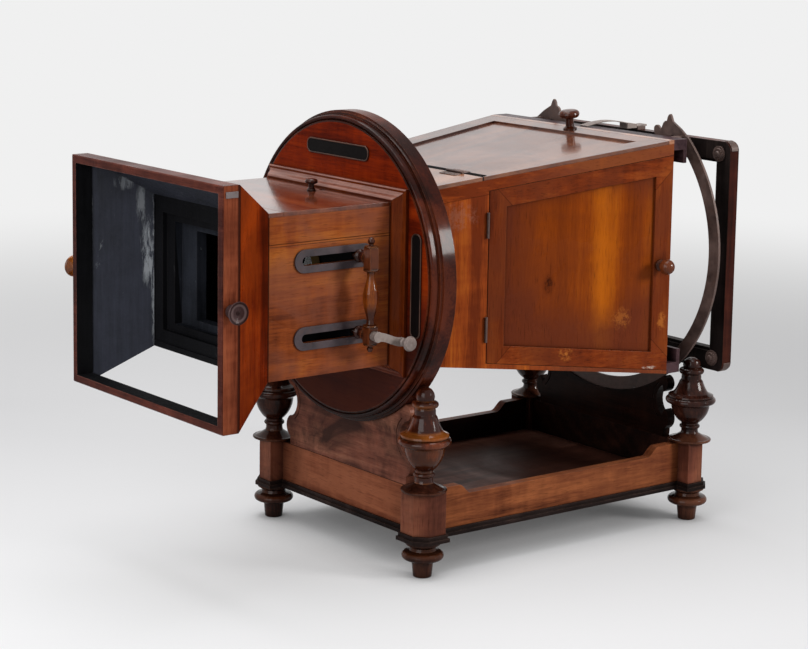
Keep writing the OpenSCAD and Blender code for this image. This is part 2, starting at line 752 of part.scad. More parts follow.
// Sheet parallel to a side wall, between two depths below its face
module door_sheet(side, depth0, depth1) {
    y0 = door_y0 - 20;
    y1 = box_rear_y + 20;
    translate([0, 0, axis_z - box_rear_z]) linear_extrude(2 * box_rear_z) polygon([
        [side * (box_x(y0) - depth0), y0], [side * (box_x(y1) - depth0), y1],
        [side * (box_x(y1) - depth1), y1], [side * (box_x(y0) - depth1), y0]]);
}
module door_frame(side) {
    color("#74381c") difference() {
        intersection() {
            door_sheet(side, 0, box_wall - fit_gap);
            door_prism(door_y0 + door_gap, box_rear_y, 0, door_gap);
        }
        door_prism(door_y0 + door_bar, box_rear_y - door_bar, door_rail, 0);
    }
}
module door_panel(side) {
    color("#96501f") intersection() {
        door_sheet(side, door_recess, door_recess + door_panel_t);
        door_prism(door_y0 + door_bar, box_rear_y - door_bar, door_rail, 0);
    }
}
module door_knob(side) {
    y = box_rear_y - 20;
    color("#4f2312") translate([side * box_x(y), y, axis_z - 10.5])
        rotate([0, side * 90, 0]) rotate([box_plan_angle, 0, 0])
            rotate_extrude() polygon(concat([[0, 0.2], [9.5, 0.2], [9, 3], [5.5, 5], [5.5, 9]],
                arc([0, 20], 12.5, -62, 90, 12)));
}
module right_door_frame() { door_frame(1); }
module right_door_panel() { door_panel(1); }
module right_door_knob() { door_knob(1); }
module left_door_frame() { door_frame(-1); }
module left_door_panel() { door_panel(-1); }
module left_door_knob() { door_knob(-1); }

// ---------- hoop, rods and rear frame ----------

// Outline of the hoop about the axis: a broken ring with a scroll at each end
module hoop_plan() {
    r0 = hoop_r - hoop_w;
    a0 = 90 - hoop_gap;
    tip = hoop_r * [cos(a0 + 2.4), sin(a0 + 2.4)];
    half = concat(
        arc([0, 0], hoop_r, -90, a0 - 10, 44),
        [(hoop_r - 2.5) * [cos(a0 - 5), sin(a0 - 5)], (hoop_r - 5.5) * [cos(a0 - 0.4), sin(a0 - 0.4)]],
        [tip + [4, -3.5], tip + [1.2, 0.2], tip + [-1.6, -1], tip + [-4.4, -5],
        tip + [-6, -11.5], tip + [-10, -12.2], tip + [-14, -15.5], tip + [-17, -22],
        tip + [-21, -28.5]],
        arc(tip + [-29, -27], 6.6, -8, 188, 8),
        [tip + [-34.5, -34], tip + [-30, -38.5], tip + [-18, -39]],
        arc([0, 0], r0, a0 - 4, -90, 44));
    polygon(concat(half, [for (i = [len(half) - 2:-1:1]) [-half[i][0], half[i][1]]]));
}
module rear_hoop() {
    color("#3b302c") translate([0, 0, axis_z]) slab_y(hoop_y, hoop_y + hoop_t) hoop_plan();
}

module hoop_standoffs() {
    color("#3b302c") for (sx = [-1, 1], sz = [-1, 1])
        translate([sx * standoff_x, lip_y1, axis_z + sz * standoff_z]) rotate([-90, 0, 0])
            cylinder(r = standoff_r, h = hoop_y - lip_y1);
}

module frame_rods() {
    color("#3b302c") for (sx = [-1, 1], z = [rod_up, -rod_down])
        translate([sx * rod_x, lip_y1, axis_z + z]) rotate([-90, 0, 0])
            cylinder(r = rod_r, h = rod_end_y - lip_y1);
}

module rounded_plan(hx, hz, r) {
    square([2 * hx, 2 * (hz - r)], center = true);
    square([2 * (hx - r), 2 * hz], center = true);
    for (sx = [-1, 1], sz = [-1, 1]) translate([sx * (hx - r), sz * (hz - r)]) circle(r);
}

module rear_frame() {
    lip = 5;
    color("#1c1614") difference() {
        translate([0, 0, frame_c]) slab_y(frame_y, frame_y + frame_t) difference() {
            rounded_plan(frame_x, frame_z, frame_corner);
            square([2 * (frame_x - frame_bar_x), 2 * (frame_z - frame_bar_z)], center = true);
        }
        translate([0, 0, frame_c]) slab_y(frame_y - 1, frame_y + lip)
            square([2 * (frame_x - frame_bar_x + lip), 2 * (frame_z - frame_bar_z + lip)],
                center = true);
        for (sx = [-1, 1], z = [rod_up, -rod_down])
            translate([sx * rod_x, frame_y - 1, axis_z + z]) rotate([-90, 0, 0])
                cylinder(r = rod_r + rod_gap, h = rod_depth + 4);
    }
}

// Stepped buttons on the frame's front and iron bands round its corners
module frame_irons() {
    band = 1.2;
    edge_margin = 3;
    color("#4a4644") {
        for (sx = [-1, 1], sz = [-1, 1])
            translate([sx * button_x, frame_y, frame_c + sz * button_z]) rotate([90, 0, 0])
                rotate_extrude() polygon([[0, 0], [13, 0], [13, 2.5], [9.5, 3], [9, 5.5], [5, 6],
                    [3.5, 8], [0, 8.6]]);
        for (sx = [-1, 1], sz = [-1, 1])
            translate([sx * (frame_x - frame_corner), 0, frame_c + sz * (frame_z - frame_corner)])
                slab_y(frame_y + edge_margin, frame_y + frame_t - edge_margin) intersection() {
                    difference() {
                        circle(frame_corner + band);
                        circle(frame_corner);
                    }
                    mirror([sx < 0 ? 1 : 0, 0]) mirror([0, sz < 0 ? 1 : 0]) square(frame_corner + 2 * band);
                }
        translate([-strap_w / 2, frame_y + 1, frame_top]) cube([strap_w, frame_t - 2, keeper_t]);
    }
}

// Bowed spring strap from the upper channel over the rear frame, with its stop block
module spring_strap() {
    y0 = box_rear_y + 8;
    span = frame_y - y0;
    z0 = axis_z + box_rear_z + fit_gap;
    bow = 7;
    t = 1.6;
    under = [for (i = [0:10]) let (u = i / 10) [y0 + span * u,
        z0 + bow * sin(180 * u) - (z0 - strap_end_z) * pow(u, 2)]];
    color("#6f6a66") {
        slab_x(-strap_w / 2, strap_w / 2) polygon(concat(under,
            [[frame_y + 22, strap_end_z], [frame_y + 22, strap_end_z + 2 * t]],
            [for (i = [10:-1:0]) under[i] + [0, t]]));
        slab_x(-strap_w / 2 - 1, strap_w / 2 + 1) polygon([[frame_y - 24, strap_end_z - 2],
            [frame_y - 2, strap_end_z - 2], [frame_y - 2, strap_end_z + 5],
            [frame_y - 24, strap_end_z + 7.5]]);
    }
}

// ---------- lids and carriage ----------

module tube_lid() {
    hole_r = 5;
    color("#8c4a26") difference() {
        translate([-tube_x, tube_lid_y0, axis_z + tube_deck_z])
            cube([2 * tube_x, tube_lid_y1 - tube_lid_y0, tube_lid_t]);
        translate([0, tube_lid_y1 - 8, axis_z]) cylinder(r = hole_r, h = tube_z + 1);
    }
}
module tube_lid_knob() {
    color("#7a3a14") translate([0, tube_lid_y1 - 29, axis_z + tube_z]) knob(7, 4.4, 10, 19);
}

module lens_board() {
    x = tube_in_x - carriage_gap;
    top = tube_deck_z - tube_wall - carriage_gap;
    bottom = tube_in_z - carriage_gap;
    color("#1d1d22") translate([0, 0, axis_z])
        slab_y(carriage_y - carriage_t / 2, carriage_y + carriage_t / 2) difference() {
            translate([-x, -bottom]) square([2 * x, bottom + top]);
            circle(lens_hole_r, $fn = 120);
        }
}
module lens_cell() {
    color("#6b5528") translate([0, carriage_y + carriage_t / 2, axis_z]) rotate([90, 0, 0])
        rotate_extrude($fn = 120) polygon([[lens_r, 0], [lens_hole_r, 0],
            [lens_hole_r, carriage_t], [lens_hole_r + 8, carriage_t], [lens_hole_r + 8,
            carriage_t + 3], [lens_r - 2, carriage_t + 3], [lens_r, carriage_t]]);
}
module lens_glass() {
    sag = 7;
    edge = carriage_t / 2 - 1;
    ball = (pow(lens_r, 2) + pow(sag, 2)) / (2 * sag);
    half_angle = asin(lens_r / ball);
    color("#c8d8dc", 0.4) translate([0, carriage_y, axis_z]) rotate([90, 0, 0])
        rotate_extrude($fn = 120) polygon(concat(
            [for (i = [0:8]) let (a = half_angle * i / 8)
                [ball * sin(a), -(edge + sag) + ball * (1 - cos(a))]],
            [for (i = [8:-1:0]) let (a = half_angle * i / 8)
                [ball * sin(a), (edge + sag) - ball * (1 - cos(a))]]));
}

// Necks through the slots, collars outside the plates and the square blocks
module carriage_arms() {
    x0 = tube_in_x - carriage_gap;
    x1 = handle_x - block_w / 2;
    collar_x = plate_x + fit_gap;
    blocks = [[slot_up, upper_block_h], [-slot_down, lower_block_h]];
    color("#6a2f16") for (b = blocks) translate([0, carriage_y, axis_z + b[0]]) {
        translate([x0, 0, 0]) rotate([0, 90, 0]) cylinder(r = arm_r, h = x1 - x0);
        translate([collar_x, 0, 0]) turned_x([[0, 0], [collar_r, 0], [collar_r, 3],
            [collar_r - 2.5, 6], [collar_r - 3, 11], [collar_r, 15], [collar_r + 1, x1 - collar_x],
            [0, x1 - collar_x]]);
        translate([x1, -block_w / 2, -b[1] / 2]) cube([block_w, block_w, b[1]]);
    }
}

// Turned grip between the blocks, with a ball above and a pendant below
module focus_handle() {
    z0 = -slot_down + lower_block_h / 2;
    z1 = slot_up - upper_block_h / 2;
    len = z1 - z0;
    top = slot_up + upper_block_h / 2;
    bottom = -slot_down - lower_block_h / 2;
    ring_r = 11.8;
    color("#6a2f16") translate([handle_x, carriage_y, axis_z]) {
        translate([0, 0, z0]) rotate_extrude() polygon(concat([[0, 0], [ring_r - 0.6, 0],
            [ring_r, 1], [ring_r - 0.6, 2.4], [6.4, 4], [5.8, 8]],
            [for (i = [0:10]) let (t = i / 10) [5.4 + 6.6 * pow(sin(180 * t), 1.4),
                10 + (len - 20) * t]],
            [[5.8, len - 8], [6.4, len - 4], [ring_r - 0.6, len - 2.4], [ring_r, len - 1],
            [ring_r - 0.6, len], [0, len]]));
        translate([0, 0, top]) rotate_extrude() polygon(concat([[0, 0], [ring_r - 2, 0],
            [ring_r - 1.4, 1], [ring_r - 2, 2.2], [4.4, 3], [3, 4.6]],
            arc([0, 9.6], 5.4, -56, 90, 8)));
        translate([0, 0, bottom]) rotate_extrude() polygon(concat([[0, -13], [2.6, -12.4]],
            arc([1.8, -8], 3.2, -50, 60, 6), [[3.4, -3.6], [ring_r - 2, -2.2], [ring_r - 1.4, -1],
            [ring_r - 2, 0], [0, 0]]));
    }
}

// Curved crank arm on the lower block's outer face
module crank_lever() {
    x0 = handle_x + block_w / 2;
    w = 6.5;
    path = [for (i = [0:10]) let (t = i / 10) [crank_arm * t, -crank_drop * (1 - cos(180 * t)) / 2]];
    color("#8f877f") translate([x0, carriage_y, axis_z - slot_down]) {
        rotate([0, 90, 0]) cylinder(r = 7, h = boss_t);
        slab_x(boss_t, boss_t + crank_t) {
            circle(w + 1.6);
            translate([crank_arm, -crank_drop]) circle(w);
            polygon(concat([for (p = path) p + [0, w]], [for (i = [10:-1:0]) path[i] - [0, w]]));
        }
    }
}
module crank_knob() {
    x0 = handle_x + block_w / 2 + boss_t + crank_t;
    color("#8f877f") translate([x0, carriage_y + crank_arm, axis_z - slot_down - crank_drop])
        turned_x(concat([[0, 0], [6.2, 0], [6.6, 1.6], [5, 3.4], [4.4, 7], [5.4, 12]],
            arc([9, 16.4], 2.6, -90, 60, 6), [[9.6, 20.6], [3, 21.2], [0, 21]]));
}

floor_board();
plinth_moulding();
front_rail();
rear_rail();
left_rail();
right_rail();
corner_posts();
post_caps();
front_finials();
rear_finials();
feet();
front_cradle();
rear_cradle();
turning_disc();
disc_rim();
root_moulding();
bare_plates();
tube_left();
tube_right();
tube_top();
tube_floor();
mouth_frame();
slot_plates();
flare_left();
flare_right();
flare_top();
box_left();
box_right();
box_floor();
box_top();
top_channel();
bottom_channel();
box_hinges();
rear_hoop();
hoop_standoffs();
frame_rods();
hood_frame();
hood_knobs();
tube_lid();
tube_lid_knob();
lid_frame();
lid_panel();
lid_knob();
right_door_frame();
right_door_panel();
right_door_knob();
left_door_frame();
left_door_panel();
left_door_knob();
lens_board();
lens_cell();
lens_glass();
carriage_arms();
focus_handle();
crank_lever();
crank_knob();
rear_frame();
frame_irons();
spring_strap();
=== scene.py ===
"""Dresses the table-top picture viewer: woods, black stain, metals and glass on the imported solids,
the lid's hinge leaves, the beads of the bare plates, and the camera, lamps and floor.

Lengths are in metres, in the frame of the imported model: X across, Y along the viewer with the
hood at the low end, Z up."""
import math

import bmesh
import bpy
from mathutils import Matrix, Vector


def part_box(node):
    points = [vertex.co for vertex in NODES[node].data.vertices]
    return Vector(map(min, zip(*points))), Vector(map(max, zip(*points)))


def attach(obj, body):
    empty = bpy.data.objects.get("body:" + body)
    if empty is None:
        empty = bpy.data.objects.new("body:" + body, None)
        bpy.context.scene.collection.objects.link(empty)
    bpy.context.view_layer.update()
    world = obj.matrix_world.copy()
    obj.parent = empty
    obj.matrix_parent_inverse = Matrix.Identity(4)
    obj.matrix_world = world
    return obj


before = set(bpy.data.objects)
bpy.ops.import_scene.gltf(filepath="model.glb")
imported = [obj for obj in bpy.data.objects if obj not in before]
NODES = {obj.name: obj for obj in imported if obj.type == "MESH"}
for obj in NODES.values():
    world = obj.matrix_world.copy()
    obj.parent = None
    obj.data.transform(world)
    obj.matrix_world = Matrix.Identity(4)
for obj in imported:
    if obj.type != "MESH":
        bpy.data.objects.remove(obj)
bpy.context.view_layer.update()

AXIS_Z = 0.455            # height of the axis that the viewer turns on
FRAME_BACK_Y = -0.6335    # back of the hood frame, on the flare
TUBE_FRONT_Y = -0.549     # front of the tube, where the flare starts
DISC_FACE_Y = -0.308      # front face of the turning disc
LID_JOINT_Y = -0.1516     # joint between the fixed board and the top lid
LID_PIN_Y = -0.1532       # pins of the top lid's hinges
# The dark strip at STRIP_Y is a black sheet that paints the shade of the recess at the lid's hinge
# edge.
STRIP_Y = -0.1459         # middle of the dark strip along the lid's hinge edge
TOP_FRONT = (-0.265, 0.5926)        # y and z of the box's top at the disc
TOP_RUN, TOP_RISE = 0.4667, 0.0549  # how far the box's top runs back and rises from there
RAIL_SLOPE = math.radians(6.5)      # slope of the joint under the box sides' top rail
RAIL_POINT = (-0.1405, 0.578)       # y and z of a point on that joint

LEFT, RIGHT = Vector((-1, 0, 0)), Vector((1, 0, 0))
FRONT, BACK = Vector((0, -1, 0)), Vector((0, 1, 0))
DOWN, UP = Vector((0, 0, -1)), Vector((0, 0, 1))


# ---------- node helpers ----------

def srgb(r, g, b):
    """Linear colour of an sRGB colour given as 0 to 255."""
    def lin(v):
        v /= 255.0
        return v / 12.92 if v <= 0.04045 else ((v + 0.055) / 1.055) ** 2.4
    return (lin(r), lin(g), lin(b))


def times(colour, factor):
    return tuple(c * factor for c in colour)


class Nodes:
    """Short calls for making the nodes of one tree."""

    def __init__(self, tree):
        self.tree = tree
        tree.nodes.clear()

    def add(self, kind, **settings):
        node = self.tree.nodes.new(kind)
        for key, value in settings.items():
            setattr(node, key, value)
        return node

    def link(self, a, b):
        self.tree.links.new(a, b)

    def feed(self, socket, value):
        if isinstance(value, bpy.types.NodeSocket):
            self.link(value, socket)
        else:
            socket.default_value = value

    def math(self, op, a, b=0.0, clamp=False):
        node = self.add("ShaderNodeMath", operation=op, use_clamp=clamp)
        self.feed(node.inputs[0], a)
        self.feed(node.inputs[1], b)
        return node.outputs[0]

    def glow(self, kind, colour, strength=1.0):
        """Emission or Background node."""
        node = self.add(kind)
        node.inputs[0].default_value = (*colour, 1.0)
        self.feed(node.inputs[1], strength)
        return node.outputs[0]

    def mix_shader(self, factor, a, b):
        node = self.add("ShaderNodeMixShader")
        for socket, value in zip(node.inputs, (factor, a, b)):
            self.link(value, socket)
        return node.outputs[0]

    def seen(self):
        """1 for rays of the camera, also through glass or off a shiny surface, 0 for light."""
        path = self.add("ShaderNodeLightPath").outputs
        direct = self.math("MAXIMUM", path["Is Camera Ray"], path["Is Transmission Ray"])
        return self.math("MAXIMUM", direct, path["Is Glossy Ray"])


class Shader(Nodes):
    """A material under construction."""

    def __init__(self, name):
        self.mat = bpy.data.materials.new(name)
        self.mat.use_nodes = True
        super().__init__(self.mat.node_tree)
        self.out = self.add("ShaderNodeOutputMaterial")
        self.bsdf = self.add("ShaderNodeBsdfPrincipled")
        self.link(self.bsdf.outputs[0], self.out.inputs[0])
        self.coord = self.add("ShaderNodeTexCoord").outputs["Object"]

    def surface(self, values):
        """Sets the Principled shader's sockets by name, to outputs of nodes or plain values."""
        for name, value in values.items():
            self.feed(self.bsdf.inputs[name], value)
        return self.mat

    def scaled(self, scale, offset=(0, 0, 0)):
        node = self.add("ShaderNodeMapping")
        self.link(self.coord, node.inputs["Vector"])
        node.inputs["Scale"].default_value = scale
        node.inputs["Location"].default_value = offset
        return node.outputs[0]

    def noise(self, vector, scale, detail, rough, distortion=0.0):
        """Noise with this many cells to a metre."""
        node = self.add("ShaderNodeTexNoise")
        self.link(vector, node.inputs["Vector"])
        for key, value in (("Scale", scale), ("Detail", detail), ("Roughness", rough),
                           ("Distortion", distortion)):
            node.inputs[key].default_value = value
        return node.outputs["Fac"]

    def span(self, value, low, high, to_low=0.0, to_high=1.0, smooth=False):
        """Carries low..high over to to_low..to_high, clamped."""
        node = self.add("ShaderNodeMapRange",
                        interpolation_type="SMOOTHSTEP" if smooth else "LINEAR")
        for i, v in enumerate((value, low, high, to_low, to_high)):
            self.feed(node.inputs[i], v)
        return node.outputs[0]

    def mix(self, factor, a, b):
        node = self.add("ShaderNodeMix", data_type="RGBA")
        self.feed(node.inputs[0], factor)
        for socket, value in ((node.inputs[6], a), (node.inputs[7], b)):
            self.feed(socket, value if isinstance(value, bpy.types.NodeSocket) else (*value, 1.0))
        return node.outputs[2]

    def mix_vector(self, factor, a, b):
        node = self.add("ShaderNodeMix", data_type="VECTOR")
        for socket, value in ((node.inputs[0], factor), (node.inputs[4], a), (node.inputs[5], b)):
            self.feed(socket, value)
        return node.outputs[1]

    def axes(self):
        """X, Y and Z on the object."""
        node = self.add("ShaderNodeSeparateXYZ")
        self.link(self.coord, node.inputs[0])
        return node.outputs

    def hypot(self, a, b):
        """Length of a vector of two parts."""
        return self.math("SQRT", self.math("ADD", *(self.math("MULTIPLY", v, v) for v in (a, b))))

    def bump(self, height, strength, distance, normal):
        node = self.add("ShaderNodeBump")
        self.link(height, node.inputs["Height"])
        node.inputs["Strength"].default_value = strength
        node.inputs["Distance"].default_value = distance
        self.link(normal, node.inputs["Normal"])
        return node.outputs[0]

    def round_edges(self, radius):
        node = self.add("ShaderNodeBevel", samples=6)
        node.inputs["Radius"].default_value = radius
        return node.outputs[0]

    def open_air(self, distance, samples):
        """1 on open surfaces, falling to 0 deep in a hollow."""
        node = self.add("ShaderNodeAmbientOcclusion", samples=samples)
        node.inputs["Distance"].default_value = distance
        return node.outputs["AO"]

    def ramp(self, value, stops):
        node = self.add("ShaderNodeValToRGB")
        self.link(value, node.inputs[0])
        points = node.color_ramp.elements
        while len(points) < len(stops):
            points.new(0.5)
        for point, (place, colour) in zip(points, stops):
            point.position = place
            point.color = (*colour, 1.0)
        return node.outputs[0]

    def level(self, normal, d):
        """Signed distance from the plane of points p with p.normal = d."""
        dot = self.add("ShaderNodeVectorMath", operation="DOT_PRODUCT")
        self.link(self.coord, dot.inputs[0])
        size = math.sqrt(sum(c * c for c in normal))
        dot.inputs[1].default_value = tuple(c / size for c in normal)
        return self.math("SUBTRACT", dot.outputs["Value"], d / size)

    def near(self, centre, radii):
        """1 at a point of the object, falling to 0 on the ellipsoid of these radii round it."""
        shift = self.scaled(tuple(1.0 / r for r in radii),
                            tuple(-c / r for c, r in zip(centre, radii)))
        length = self.add("ShaderNodeVectorMath", operation="LENGTH")
        self.link(shift, length.inputs[0])
        return self.span(length.outputs["Value"], 0.0, 1.0, 1.0, 0.0)

    def edge_mask(self, radius):
        """1 along convex and concave edges, 0 on the flats."""
        geometry = self.add("ShaderNodeNewGeometry")
        dot = self.add("ShaderNodeVectorMath", operation="DOT_PRODUCT")
        self.link(self.round_edges(radius), dot.inputs[0])
        self.link(geometry.outputs["Normal"], dot.inputs[1])
        return self.span(dot.outputs["Value"], 0.98, 0.65)


# ---------- kinds of material ----------

GRAIN = {"X": (0.06, 1, 1), "Y": (1, 0.06, 1), "Z": (1, 1, 0.06)}      # drawn out along the grain
RIPPLE = {"X": (1, 0.2, 0.2), "Y": (0.2, 1, 0.2), "Z": (0.2, 0.2, 1)}  # drawn out across it
# Cells to a metre of the wood's noises; the first two grow with the size of the figure.
FIGURE, GROWTH, PATCHES, WAVER, FIBRES, PORES = 6.0, 15.0, 7.5, 26.0, 210.0, 640.0
RUBBED, KNOT_BARK, WORN_EDGE = 34.0, 120.0, 130.0
WOOD_BEVEL = 0.0012        # radius of the wood's softened edges
SEAM = (0.0002, 0.0008)    # half widths of a mitre's seam, at full and at no strength
RAIL_LINE = (0.0006, 0.6)  # half width and strength of the joint under a rail
THICK_COAT = 0.5           # weight of coat above which joints break it
WORN_RIM = 0.0012          # width of the worn edges of stained wood and metal
BARED, BROWNED = (0.3, 0.32, 0.34), (0.08, 0.07, 0.07)  # stain rubbed off, and thinned on edges
RUST = (0.09, 0.035, 0.016)


class Wood(Shader):
    """French-polished wood. Its colour starts as the figure, and the later calls lay polish,
    wear, dirt and joints over it."""

    def __init__(self, name, tones, edge, seed, shift):
        super().__init__(name)
        self.dark, self.mid, self.light = (srgb(*c) for c in tones)
        self.deep = times(self.dark, 0.3)
        self.edge = edge or tuple(min(1.0, c * 1.35 + 0.01) for c in self.light)
        self.offset = (seed * 1.7, seed * 0.9 + shift, seed * 1.3)

    def over(self, factor, colour):
        """Lays a colour over the wood's."""
        self.colour = self.mix(factor, self.colour, colour)

    def along(self, axis):
        """Coordinates drawn out along a grain."""
        return self.scaled(GRAIN[axis], self.offset)

    def lay_rail(self, grain, rail):
        """Grain that changes its direction beyond a plane."""
        normal, d, other = rail
        beyond = self.math("GREATER_THAN", self.level(normal, d), 0.0)
        return self.mix_vector(beyond, self.along(grain), self.along(other))

    def lay_mitre(self, mitre):
        """Grain along each bar of a mitred frame. Keeps which bars stand at the ends of its
        first axis, and its seams."""
        names, centre, half = mitre
        xyz = self.axes()
        past = []
        for n, c, h in zip(names, centre, half):
            away = self.math("ABSOLUTE", self.math("SUBTRACT", xyz["XYZ".index(n)], c))
            past.append(self.math("SUBTRACT", away, h))
        gap = self.math("SUBTRACT", *past)
        self.end_bars = self.math("GREATER_THAN", gap, 0.0)
        self.seams = self.span(self.math("ABSOLUTE", gap), *SEAM, 1.0, 0.0)
        return self.mix_vector(self.end_bars, *(self.along(n) for n in names))

    def bend_round(self, field, centre, radius):
        """Bends the grain round a knot."""
        around = self.near(centre, (radius * 4, radius * 4, radius * 7))
        aside = self.math("SUBTRACT", self.axes()[1], centre[1])
        bent = self.add("ShaderNodeCombineXYZ")
        self.link(self.math("MULTIPLY", around, self.math("MULTIPLY", aside, -0.7)), bent.inputs[1])
        both = self.add("ShaderNodeVectorMath", operation="ADD")
        self.link(field, both.inputs[0])
        self.link(bent.outputs[0], both.inputs[1])
        return both.outputs[0]

    def draw_figure(self, field, grain, lines, size, ripple, fibres, spread):
        """Figure, growth lines, fibres and the ripple across them, as the first colour."""
        figure = self.noise(field, FIGURE * size, 3.0, 0.5, 1.6)
        growth = self.add("ShaderNodeTexWave", wave_type="BANDS", bands_direction="DIAGONAL")
        self.link(field, growth.inputs["Vector"])
        for key, value in (("Scale", GROWTH * size), ("Distortion", 8.0), ("Detail", 3.0),
                           ("Detail Scale", 1.2), ("Detail Roughness", 0.6)):
            growth.inputs[key].default_value = value
        self.fibre = self.noise(field, FIBRES, 4.0, 0.72)
        self.pores = self.noise(field, PORES, 2.0, 0.6)
        self.patches = self.noise(self.scaled((1, 1, 1), self.offset), PATCHES, 5.0, 0.62, 0.6)
        waver = self.noise(self.scaled(RIPPLE[grain], self.offset), WAVER, 3.0, 0.6)
        body = self.math("ADD", self.math("MULTIPLY", figure, 1.0 - 0.3 * lines),
                         self.math("MULTIPLY", growth.outputs["Fac"], 0.3 * lines))
        for part, strength in ((self.fibre, fibres), (waver, ripple)):
            swing = self.math("MULTIPLY", self.math("SUBTRACT", part, 0.5), strength)
            body = self.math("ADD", body, swing)
        self.colour = self.ramp(body, ((0.5 - spread, self.dark), (0.5, self.mid),
                                       (0.5 + spread, self.light)))

    def cloud_over(self, cloud, glow, veil):
        """Clouds of old polish and dark pores. With glow, the wood stays clear round a point and
        darkens toward the veil away from it; on the disc and the tray that darkening is painted
        shade.
        """
        clouds = self.span(self.patches, 0.4, 0.58, 0.0, cloud)
        if glow:
            centre, radii, strength = glow
            clear = self.near(centre, radii)
            clouds = self.math("MULTIPLY", clouds, self.span(clear, 0.0, 0.6, 1.0, 0.25))
            ragged = self.math("ADD", clear, self.span(self.patches, 0.35, 0.65, 0.15, -0.15))
            clouds = self.math("MAXIMUM", clouds, self.span(ragged, 0.05, 0.5, strength, 0.0))
        self.over(clouds, veil or times(self.dark, 0.7))
        self.over(self.span(self.pores, 0.58, 0.7, 0.0, 0.45), self.deep)

    def draw_knot(self, centre, radius):
        near = self.near(centre, (radius, radius, radius * 1.7))
        ragged = self.span(self.noise(self.coord, KNOT_BARK, 4.0, 0.75), 0.3, 0.62)
        self.over(self.span(near, 0.0, 0.6, 0.0, 0.6), times(self.dark, 0.9))
        self.over(self.span(self.math("MULTIPLY", near, ragged), 0.2, 0.55, 0.0, 0.92), self.deep)

    def wear_down(self, wear, rub, spots, bands):
        """Scuffs, scratches, nicks, worn places, rubbed edges and rubbed bands."""
        nicked = tuple(0.6 * c + 0.12 for c in self.edge)
        scuffs = ((1, 1, 1), (3.1, 1.2, 0.4)), (95.0, 7.0, 0.78), (0.66, 0.74), 0.4, self.edge
        scratches = ((1, 0.12, 1), (0.7, 2.2, 5.4)), (160.0, 4.0, 0.7), (0.7, 0.74), 0.3, self.edge
        nicks = ((0.3, 1, 1), (9.1, 4.4, 2.3)), (240.0, 4.0, 0.8), (0.74, 0.78), 0.6, nicked
        for place, texture, threshold, strength, tint in (scuffs, scratches, nicks):
            marks = self.noise(self.scaled(*place), *texture)
            self.over(self.span(marks, *threshold, 0.0, strength * wear), tint)
        if spots:
            ragged = self.span(self.noise(self.coord, WORN_EDGE, 6.0, 0.8), 0.36, 0.6)
        for centre, radii, strength, tint in spots:
            mask = self.math("MULTIPLY", self.near(centre, radii), ragged)
            self.over(self.span(mask, 0.2, 0.5, 0.0, strength), tint)
        rubbing = self.span(self.noise(self.coord, RUBBED, 6.0, 0.72), 0.42, 0.62,
                            0.15 * wear, wear)
        self.over(self.math("MULTIPLY", self.edge_mask(rub), rubbing, clamp=True), self.edge)
        for z, half, strength in bands:
            away = self.math("ABSOLUTE", self.level((0, 0, 1), z))
            band = self.math("MULTIPLY", self.span(away, half * 0.5, half, 1.0, 0.0),
                             self.span(self.patches, 0.3, 0.6))
            self.over(self.math("MULTIPLY", band, strength), self.edge)

    def draw_rings(self, y, z, rings):
        """Rings of colour, dark and light, round an axis along X."""
        xyz = self.axes()
        radius = self.hypot(self.math("SUBTRACT", xyz[1], y), self.math("SUBTRACT", xyz[2], z))
        for r, half, strength, tint in rings:
            away = self.math("ABSOLUTE", self.math("SUBTRACT", radius, r))
            self.over(self.span(away, half * 0.4, half, strength, 0.0), tint)

    def draw_joints(self, joints, coat):
        """Dark lines, which also break a thick coat of polish. Returns the coat's weight."""
        weight = coat
        for normal, d, half, strength in joints:
            away = self.math("ABSOLUTE", self.level(normal, d))
            line = self.span(away, half * 0.6, half * 1.3, strength, 0.0)
            self.over(line, self.deep)
            if coat > THICK_COAT:
                weight = self.span(line, 0.0, 1.0, coat, 0.0)
        return weight


